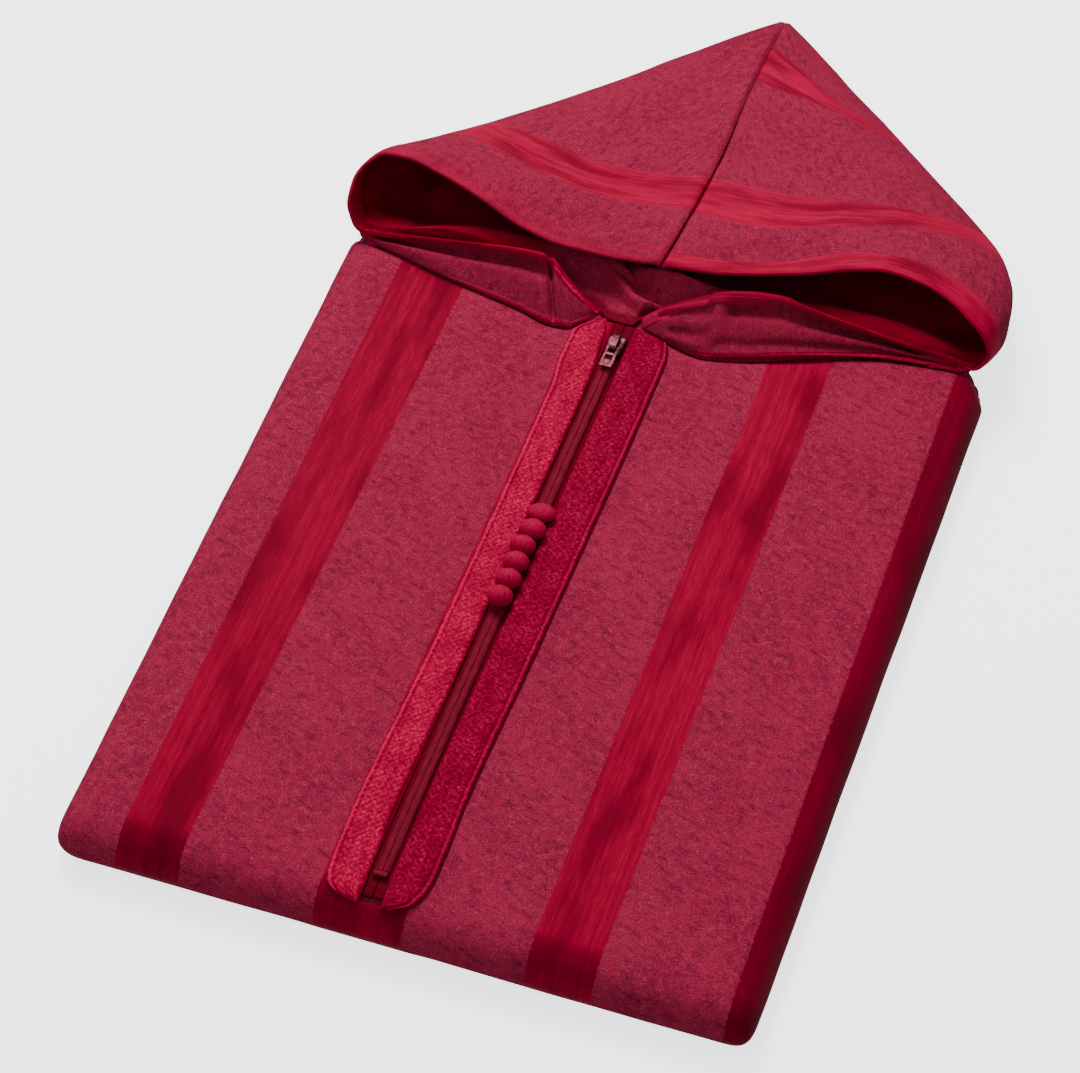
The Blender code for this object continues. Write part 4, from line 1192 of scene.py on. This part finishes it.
HOOD_CREASES = {
    # start x, y, end x, y, half width, rise
    "left": (
        (-22, 590, -34, 530, 7, -1.3),
        (-50, 545, -70, 500, 9, 0.9),
        (-14, 520, -40, 470, 9, 0.8),
        (-40, 500, -62, 452, 8, -0.8),
        (-120, 445, -80, 440, 7, -0.7),
        (-60, 412, -110, 424, 6, 0.7),
        (-30, 402, -80, 398, 5, -0.5),
        (-100, 470, -86, 505, 7, 0.7),
    ),
    "right": (
        (14, 560, 34, 505, 9, -1.2),
        (10, 500, 36, 470, 7, -0.8),
        (60, 545, 84, 510, 8, -1),
        (90, 520, 118, 486, 8, 0.9),
        (22, 412, 66, 432, 5, 1.1),
        (30, 404, 80, 414, 5, -0.7),
        (100, 470, 60, 480, 8, 0.6),
        (110, 440, 150, 452, 6, -0.6),
    ),
}


def hemmed(points, radius, depth):
    """Adds a folded hem along the first row: the cloth turns round the edge and runs back inside.

    Gives the new grid, each point's distance from the edge with the hem's inside below zero, and
    the number of rows that lie inside.
    """
    square = directions(points)
    square[:, :2], square[:, -2:] = square[:, 2:3], square[:, -3:-2]
    reach = distances(points, 0)
    mean_reach = reach.mean(axis=1)
    inside = [row for row in range(points.shape[0]) if 1.5 * radius < mean_reach[row] < depth][::-1]
    into = points[1] - points[0]
    into /= np.linalg.norm(into, axis=1, keepdims=True)
    centre = points[0] + radius * (into - square[0])
    turn = []
    turn_reach = []
    for degrees in np.linspace(-90, 75, 8):
        bend = math.radians(degrees)
        turn.append(centre - radius * math.cos(bend) * into + radius * math.sin(bend) * square[0])
        turn_reach.append(np.full(points.shape[1], radius * (bend - math.pi / 2)))
    first = int(np.argmax(mean_reach > 1.3 * radius))
    inner = [points[row] - 2 * radius * square[row] for row in inside]
    grid = np.array(inner + turn + list(points[first:]))
    along = np.concatenate([-reach[inside] - math.pi * radius, np.array(turn_reach), reach[first:]])
    return grid, along, len(inside) + 2


def hood_half(side, material, lining):
    """One half of the hood's top, from its hemmed front edge to the peak."""
    sign = -1 if side == "left" else 1
    first_share = np.concatenate([np.linspace(0, 0.03, 7), np.linspace(0.045, 0.62, 44)])
    shares = np.concatenate([first_share, np.linspace(0.632, 1, 34)])
    edge_steps = np.array([0, 0.7, 1.6, 2.8, 4.4, 6.4, 8.6])
    ys = np.concatenate([HOOD_START + edge_steps, np.linspace(398, HOOD_PEAK, 86)])
    front = resampled(mouth_edge(side), shares)
    away = front - resampled(hood_section(HOOD_START, side), shares)
    rows = []
    for y in ys:
        fading = (1 - (y - HOOD_START) / (HOOD_PEAK - HOOD_START)) ** 6
        rows.append(resampled(hood_section(y, side), shares) + fading * away)
    points = np.array(rows)
    points[..., 0] += sign * SEAM_GAP / 2
    u = distances(points, 1)
    v = distances(points, 0)
    square = directions(points) * sign
    x, y = points[..., 0], points[..., 1]
    peak_fade = smooth_step((630 - y) / 40)
    fold_fade = smooth_step((1 - shares) / 0.25)[None, :]
    edge_fade = smooth_step(v / 8)
    rise = creases(HOOD_CREASES[side], x, y) + 0.6 * ripple(x, y, 34, 6.6 * sign)
    rise += 0.15 * ripple(x, y, 11, 2.9)
    rise = rise * peak_fade * fold_fade * (0.3 + 0.7 * edge_fade)
    pucker = np.exp(-((u / 7) ** 2)) * 0.22 * np.sin(v / 4.3 + 0.8 * np.sin(v / 17))
    pressed = 0.45 * smooth_step(u / 1.5) * smooth_step((7.0 - u) / 1.2) if side == "left" else 0.0
    seam = -1.5 * np.exp(-((u / 1.3) ** 2))
    rise += smooth_step((634 - y) / 12) * (seam + pucker + pressed)
    points = points + square * rise[..., None]
    outward = points[:, ::sign]
    grid, along, lined = hemmed(outward, 1.0, 14.0)
    grid = grid[:, ::sign]
    along = along[:, ::sign]
    widths = distances(grid, 1)
    lines = HOOD_STRIPE_EDGES[side]
    seam_distance = table_column(lines, 0)
    known = [np.interp(widths, seam_distance, table_column(lines, number)) for number in range(1, 6)]
    mapped = np.where(along < 0, along, 0.0)
    low_known, low_mapped = np.zeros_like(along), 0.0
    for place, value in zip(known, MAPPED_LINES):
        share = np.clip((along - low_known) / (place - low_known), 0, 1)
        mapped = mapped + share * (value - low_mapped)
        low_known, low_mapped = place, value
    mapped = mapped + np.maximum(along - low_known, 0)
    uvs = np.stack([mapped, widths], -1)
    if side == "left":
        grid, uvs = grid[:, ::-1], uvs[:, ::-1]
    piece = thicken(grid_piece(f"hood_{side}", grid, uvs, material), 0.9, lining, lined, grid.shape[1])
    stand_for(piece, f"hood_{side}_top")


LOOP_FOLD = (
    # x and y of the long fold under the hood's edge, half width before and behind it, and rise
    (-153, 385, 4, 4, 0.3),
    (-142, 387, 5, 5, 4),
    (-122, 391, 7, 7, 8),
    (-98, 395.5, 8, 8, 11.5),
    (-72, 396, 8, 8, 12.5),
    (-48, 398, 6, 7.5, 12.5),
    (-22, 395, 7, 7, 12.5),
    (4, 392, 7, 7, 13),
    (20, 393.5, 6, 6, 10.5),
    (34, 397, 6, 6, 7),
    (56, 400.5, 7.5, 7.5, 6.5),
    (84, 403, 9, 9, 8.5),
    (112, 402.5, 9, 9, 9),
    (136, 399, 7, 7, 5.5),
    (152, 394, 5, 5, 0.5),
)
NECK_FOLD = (
    # the same for the roll round the neck, from the left rim down to the zip's end and away
    (-50, 404, 3, 6, 0),
    (-40, 400, 2.6, 8, 6),
    (-30, 391.5, 2.6, 9, 8),
    (-20, 382, 2.4, 9, 8),
    (-12, 375.5, 2.2, 8, 7),
    (-3, 373.5, 2.2, 6, 6),
    (6, 374.5, 2.6, 5, 5),
    (17, 378, 3.2, 4, 3),
    (28, 382, 3.4, 3.4, 0),
)
NECK_CREASES = (
    # start x, y, end x, y, half width, rise
    (-6, 386, 22, 386, 6, 3.5),
    (-20, 395, -9, 386, 2.2, -6),
    (-10, 380.5, 2, 379, 1.8, -3.2),
    (2, 379, 16, 382.5, 1.8, -2.4),
)


def long_fold(table, x, y):
    """Height of one soft fold that runs across the cloth."""
    known = table_column(table, 0)
    centre, before, behind, rise = (eased(known, table_column(table, number), x) for number in range(1, 5))
    half_width = np.where(y < centre, before, behind)
    return rise * np.exp(-(((y - centre) / half_width) ** 2))


def hood_under(side, material):
    """The cloth under the hood's hollow, wrinkled where the hood falls back behind the neck."""
    sign = -1 if side == "left" else 1
    shares = np.concatenate([np.linspace(0, 0.35, 46), np.linspace(0.37, 0.95, 34), np.linspace(0.962, 1, 8)])
    backs = np.linspace(0, 1, 30)
    widths = table_column(SHOULDER_ROWS, 1 if side == "left" else 2)
    rows = []
    for back in backs:
        width = np.interp(back, table_column(SHOULDER_ROWS, 0), widths)
        x = sign * (shares * width) - (1 - shares) * 1.5
        front_y = eased(table_column(HOOD_UNDER_FRONT, 0), table_column(HOOD_UNDER_FRONT, 1), x)
        y = front_y + back * (SHOULDER_ROW_Y - front_y)
        rows.append(np.stack([x, y, BUNDLE_HEIGHT + crown(x, y)], -1))
    for y in np.linspace(394, HOOD_PEAK, 70):
        fold_x, seam_x, inset, low = hood_measures(y, (FOLD_COLUMN[side], 2, 8, 9))
        end = fold_x - sign * inset
        x = seam_x + shares * (end - seam_x)
        rows.append(np.stack([x, np.full_like(x, y), np.full_like(x, low + 2.0)], -1))
    points = np.array(rows)
    x, y = points[..., 0], points[..., 1]
    fade = smooth_step((430 - y) / 20) * smooth_step((1 - shares) / 0.08)[None, :]
    front_fade = smooth_step((y - points[:1, :, 1] - 2.6) / 3.0)
    rise = np.maximum(long_fold(LOOP_FOLD, x, y), long_fold(NECK_FOLD, x, y))
    rise += creases(NECK_CREASES, x, y) + 0.5 * (1 + ripple(x, y, 14, 9.4))
    points[..., 2] += fade * front_fade * np.maximum(rise, -0.2)
    curl = smooth_step((shares - 0.95) / 0.05)[None, :] * smooth_step((600 - y) / 40)
    points[..., 0] += sign * (3.4 * smooth_step((y - 385) / 4) + 2.2 * smooth_step((y - 391) / 5)) * curl
    points[..., 2] += 2.6 * curl**2
    uvs = np.stack([distances(points, 0) + 24, distances(points, 1)], -1)
    if side == "left":
        points, uvs = points[:, ::-1], uvs[:, ::-1]
    piece = thicken(grid_piece(f"hood_{side}_inside", points, uvs, material), 1.2)
    stand_for(piece, f"hood_{side}_under")


def lobe_point(side, row, share):
    """A point of the hood's front piece, from the neck seam at share 0 to its rim at 1."""
    table = HOOD_FRONT[side]
    seam_x, rim_x, rim_y, rim_z = (table_at(table, column, row) for column in (0, 2, 3, 4))
    seam_y = neckline(seam_x)
    seam_z = front_height(seam_x, seam_y)
    swell = np.sin(math.pi * share) * np.minimum(1.0, (rim_z - seam_z) / 12)
    x = seam_x + share * (rim_x - seam_x)
    y = seam_y + share * (rim_y - seam_y) - 1.6 * swell
    z = seam_z + share * (rim_z - seam_z) + 0.8 * swell
    return np.stack([x, y, z], -1)


COLLAR_CREASES = {
    # start row and share, end row and share, half width in rows, rise: rows are the table's
    "left": (
        (1, 0.74, 6, 0.78, 0.11, -6.5),
        (0.6, 0.94, 6, 0.94, 0.08, 1.8),
        (6.02, 0.95, 6.15, 0.28, 0.12, -4.2),
        (6.45, 0.80, 6.40, 0.35, 0.16, 1.1),
        (5.6, 0.60, 5.7, 0.30, 0.2, 0.9),
        (6.5, 0.80, 8.6, 0.72, 0.07, -0.8),
        (3.6, 0.5, 4.4, 0.25, 0.3, -0.6),
        (2.4, 0.5, 3.2, 0.25, 0.3, 0.5),
    ),
    "right": (
        (1.2, 0.72, 3.8, 0.70, 0.10, -2.4),
        (2.2, 0.30, 3.8, 0.34, 0.10, -1.6),
        (2.1, 0.17, 3.7, 0.17, 0.09, 1.3),
        (4.5, 0.76, 9.5, 0.72, 0.12, -6),
        (3.6, 0.93, 11, 0.93, 0.08, 1.6),
        (4.8, 0.55, 5.4, 0.3, 0.4, -0.8),
        (6.4, 0.5, 6.8, 0.3, 0.4, 0.6),
        (4.4, 0.10, 11.4, 0.13, 0.06, 1.5),
        (4.4, 0.26, 11.4, 0.32, 0.07, -1.5),
    ),
}


def collar_surface(side, row, share):
    """Points of the creased collar, and the directions square to it."""
    last = len(HOOD_FRONT[side]) - 1
    step = 0.02
    along = lobe_point(side, row + step, share) - lobe_point(side, row - step, share)
    up = lobe_point(side, row, share + step) - lobe_point(side, row, share - step)
    square = np.cross(along, up)
    square /= np.linalg.norm(square, axis=-1, keepdims=True)
    base = lobe_point(side, row, share)
    fade = smooth_step(np.minimum(row, last - row) / 0.9) * smooth_step(share / 0.08)
    rise = creases(COLLAR_CREASES[side], row, share) * fade
    rise += 0.25 * ripple(base[..., 0], 24 * share, 14, 3.3) * fade
    rise -= 0.9 * np.exp(-((share / 0.05) ** 2))
    return base + square * rise[..., None], square


def collar(side, material, lining):
    """The hood's front end on one side, from the neck seam up to its hemmed rim."""
    last = len(HOOD_FRONT[side]) - 1
    rows = np.linspace(0, last, 170 if side == "left" else 200)
    shares = 1 - np.concatenate([np.linspace(0, 0.1, 6), np.linspace(0.13, 1, 34)])
    share_grid, row_grid = np.meshgrid(shares, rows, indexing="ij")
    points, _ = collar_surface(side, row_grid, share_grid)
    grid, along, lined = hemmed(points[:, ::-1], 0.9, 9.0)
    uvs = np.stack([along, distances(grid, 1)], -1)
    piece = thicken(
        grid_piece(f"collar_{side}", grid, uvs, material), 0.8, lining, lined, grid.shape[1]
    )
    stand_for(piece, f"hood_{side}_front")


COLLAR_TRIMS = {
    # rows of the collar, then the shares of the trim's lower and upper edge there
    "seam_trim_left": ("left", ((3.2, 0.03, 0.11), (7.0, 0.03, 0.14), (8.1, 0.03, 0.24), (8.75, 0.03, 0.42))),
    "rim_trim_left": ("left", ((6.3, 0.80, 0.92), (7.6, 0.76, 0.92), (8.85, 0.45, 0.92))),
    "seam_trim_right": (
        "right",
        ((3.6, 0.03, 0.09), (5, 0.03, 0.13), (7, 0.03, 0.17), (9, 0.03, 0.26), (11.8, 0.04, 0.5)),
    ),
    "rim_trim_right": (
        "right",
        (
            (0.08, 0.04, 0.92),
            (0.5, 0.24, 0.92),
            (1.1, 0.50, 0.92),
            (2, 0.74, 0.92),
            (3.4, 0.81, 0.92),
            (5.4, 0.86, 0.92),
        ),
    ),
}


def collar_trim(name, material):
    """A narrow embroidered band that lies on the collar."""
    side, edges = COLLAR_TRIMS[name]
    known = table_column(edges, 0)
    rows = np.linspace(known[0], known[-1], 230)
    low, high = (eased(known, table_column(edges, number), rows) for number in (1, 2))
    across_share = np.linspace(0, 1, 13)
    share = low[None, :] + across_share[:, None] * (high - low)[None, :]
    row = np.broadcast_to(rows[None, :], share.shape)
    points, square = collar_surface(side, row, share)
    across = distances(points, 0)
    along = distances(points, 1)
    width = across[-1:]
    from_rim = width - across
    edge = np.minimum(across, from_rim)
    edge = np.minimum(edge, np.minimum(along, along[:, -1:] - along))
    rounding = np.sqrt(np.clip(1 - (1 - np.clip(edge / 0.8, 0, 1)) ** 2, 0, 1))
    height = 0.05 + rounding * (0.3 + 0.2 * pebbles(across, along))
    piece = grid_piece(name, points + square * height[..., None], np.stack([from_rim, along], -1), material)


# Stage


def soft_light(name, size, energy, place, color):
    """A square light that faces the frame's origin."""
    data = bpy.data.lights.new(name, "AREA")
    data.shape = "RECTANGLE"
    data.size = size
    data.size_y = size
    data.energy = energy
    data.color = color
    light = bpy.data.objects.new(name, data)
    light.location = place
    light.rotation_euler = (-Vector(place)).to_track_quat("-Z", "Y").to_euler()
    bpy.context.scene.collection.objects.link(light)


def stage():
    mesh = bpy.data.meshes.new("floor")
    corners = [(FLOOR_REACH * x, FLOOR_REACH * y, 0) for x, y in ((-1, -1), (1, -1), (1, 1), (-1, 1))]
    mesh.from_pydata(corners, [], [(0, 1, 2, 3)])
    mesh.materials.append(floor_material())
    floor = bpy.data.objects.new("floor", mesh)
    floor.location.z = -FLOOR_DROP
    floor.visible_diffuse = False
    floor.visible_glossy = False
    bpy.context.scene.collection.objects.link(floor)

    world = bpy.data.worlds.new("studio")
    world.use_nodes = True
    background = world.node_tree.nodes["Background"]
    background.inputs["Color"].default_value = SKY
    background.inputs["Strength"].default_value = SKY_STRENGTH
    bpy.context.scene.world = world
    for light in LIGHTS:
        soft_light(*light)


def camera():
    data = bpy.data.cameras.new("photo_view")
    data.lens = CAMERA_LENS
    data.sensor_width = CAMERA_SENSOR
    view = bpy.data.objects.new("photo_view", data)
    view.location = CAMERA_EYE
    looking = Vector(CAMERA_TARGET) - Vector(CAMERA_EYE)
    view.rotation_euler = looking.to_track_quat("-Z", "Y").to_euler()
    bpy.context.scene.collection.objects.link(view)
    bpy.context.scene.camera = view


def dress_zip_parts(metal, nylon):
    """Better materials on the CAD's own slider, pull tab and bottom stop."""
    for node, material in (("zip_slider", metal), ("pull_tab", metal), ("zip_bottom_stop", nylon)):
        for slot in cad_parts[node].material_slots:
            slot.material = material


def build():
    body_cloth = cloth_material("striped_cloth", BODY_STRIPES, STRIPES_WITH_PAINTED_SHADE)
    front_panel(body_cloth)
    folded_layers(body_cloth)
    lining = lining_material("hood_inner_side")
    neck_cloth = lining_material("neck_inner_side", NECK_REACH)
    # The collars' darkening is painted shade, deeper on the right collar under the rim.
    collar_cloths = {
        "left": cloth_material("collar_cloth_left", COLLAR_STRIPES, painted_shade_and_tone=0.28),
        "right": cloth_material("collar_cloth_right", COLLAR_STRIPES, painted_shade_and_tone=0.4),
    }
    for side in ("left", "right"):
        # The hood's ground gets a little darker tone, and its lighter satin is painted light of its sheen.
        hood_cloth = cloth_material(
            f"hood_cloth_{side}", HOOD_STRIPES[side], blur=2.0, satin_tones=HOOD_SATIN, painted_shade_and_tone=0.08
        )
        hood_half(side, hood_cloth, lining)
        hood_under(side, neck_cloth)
        collar(side, collar_cloths[side], lining)
    braids()
    zip_tapes(tape_material())
    nylon = coil_material()
    zip_coils(nylon)
    ball_buttons(thread_material())
    dress_zip_parts(metal_material(), nylon)


build()
stage()
camera()
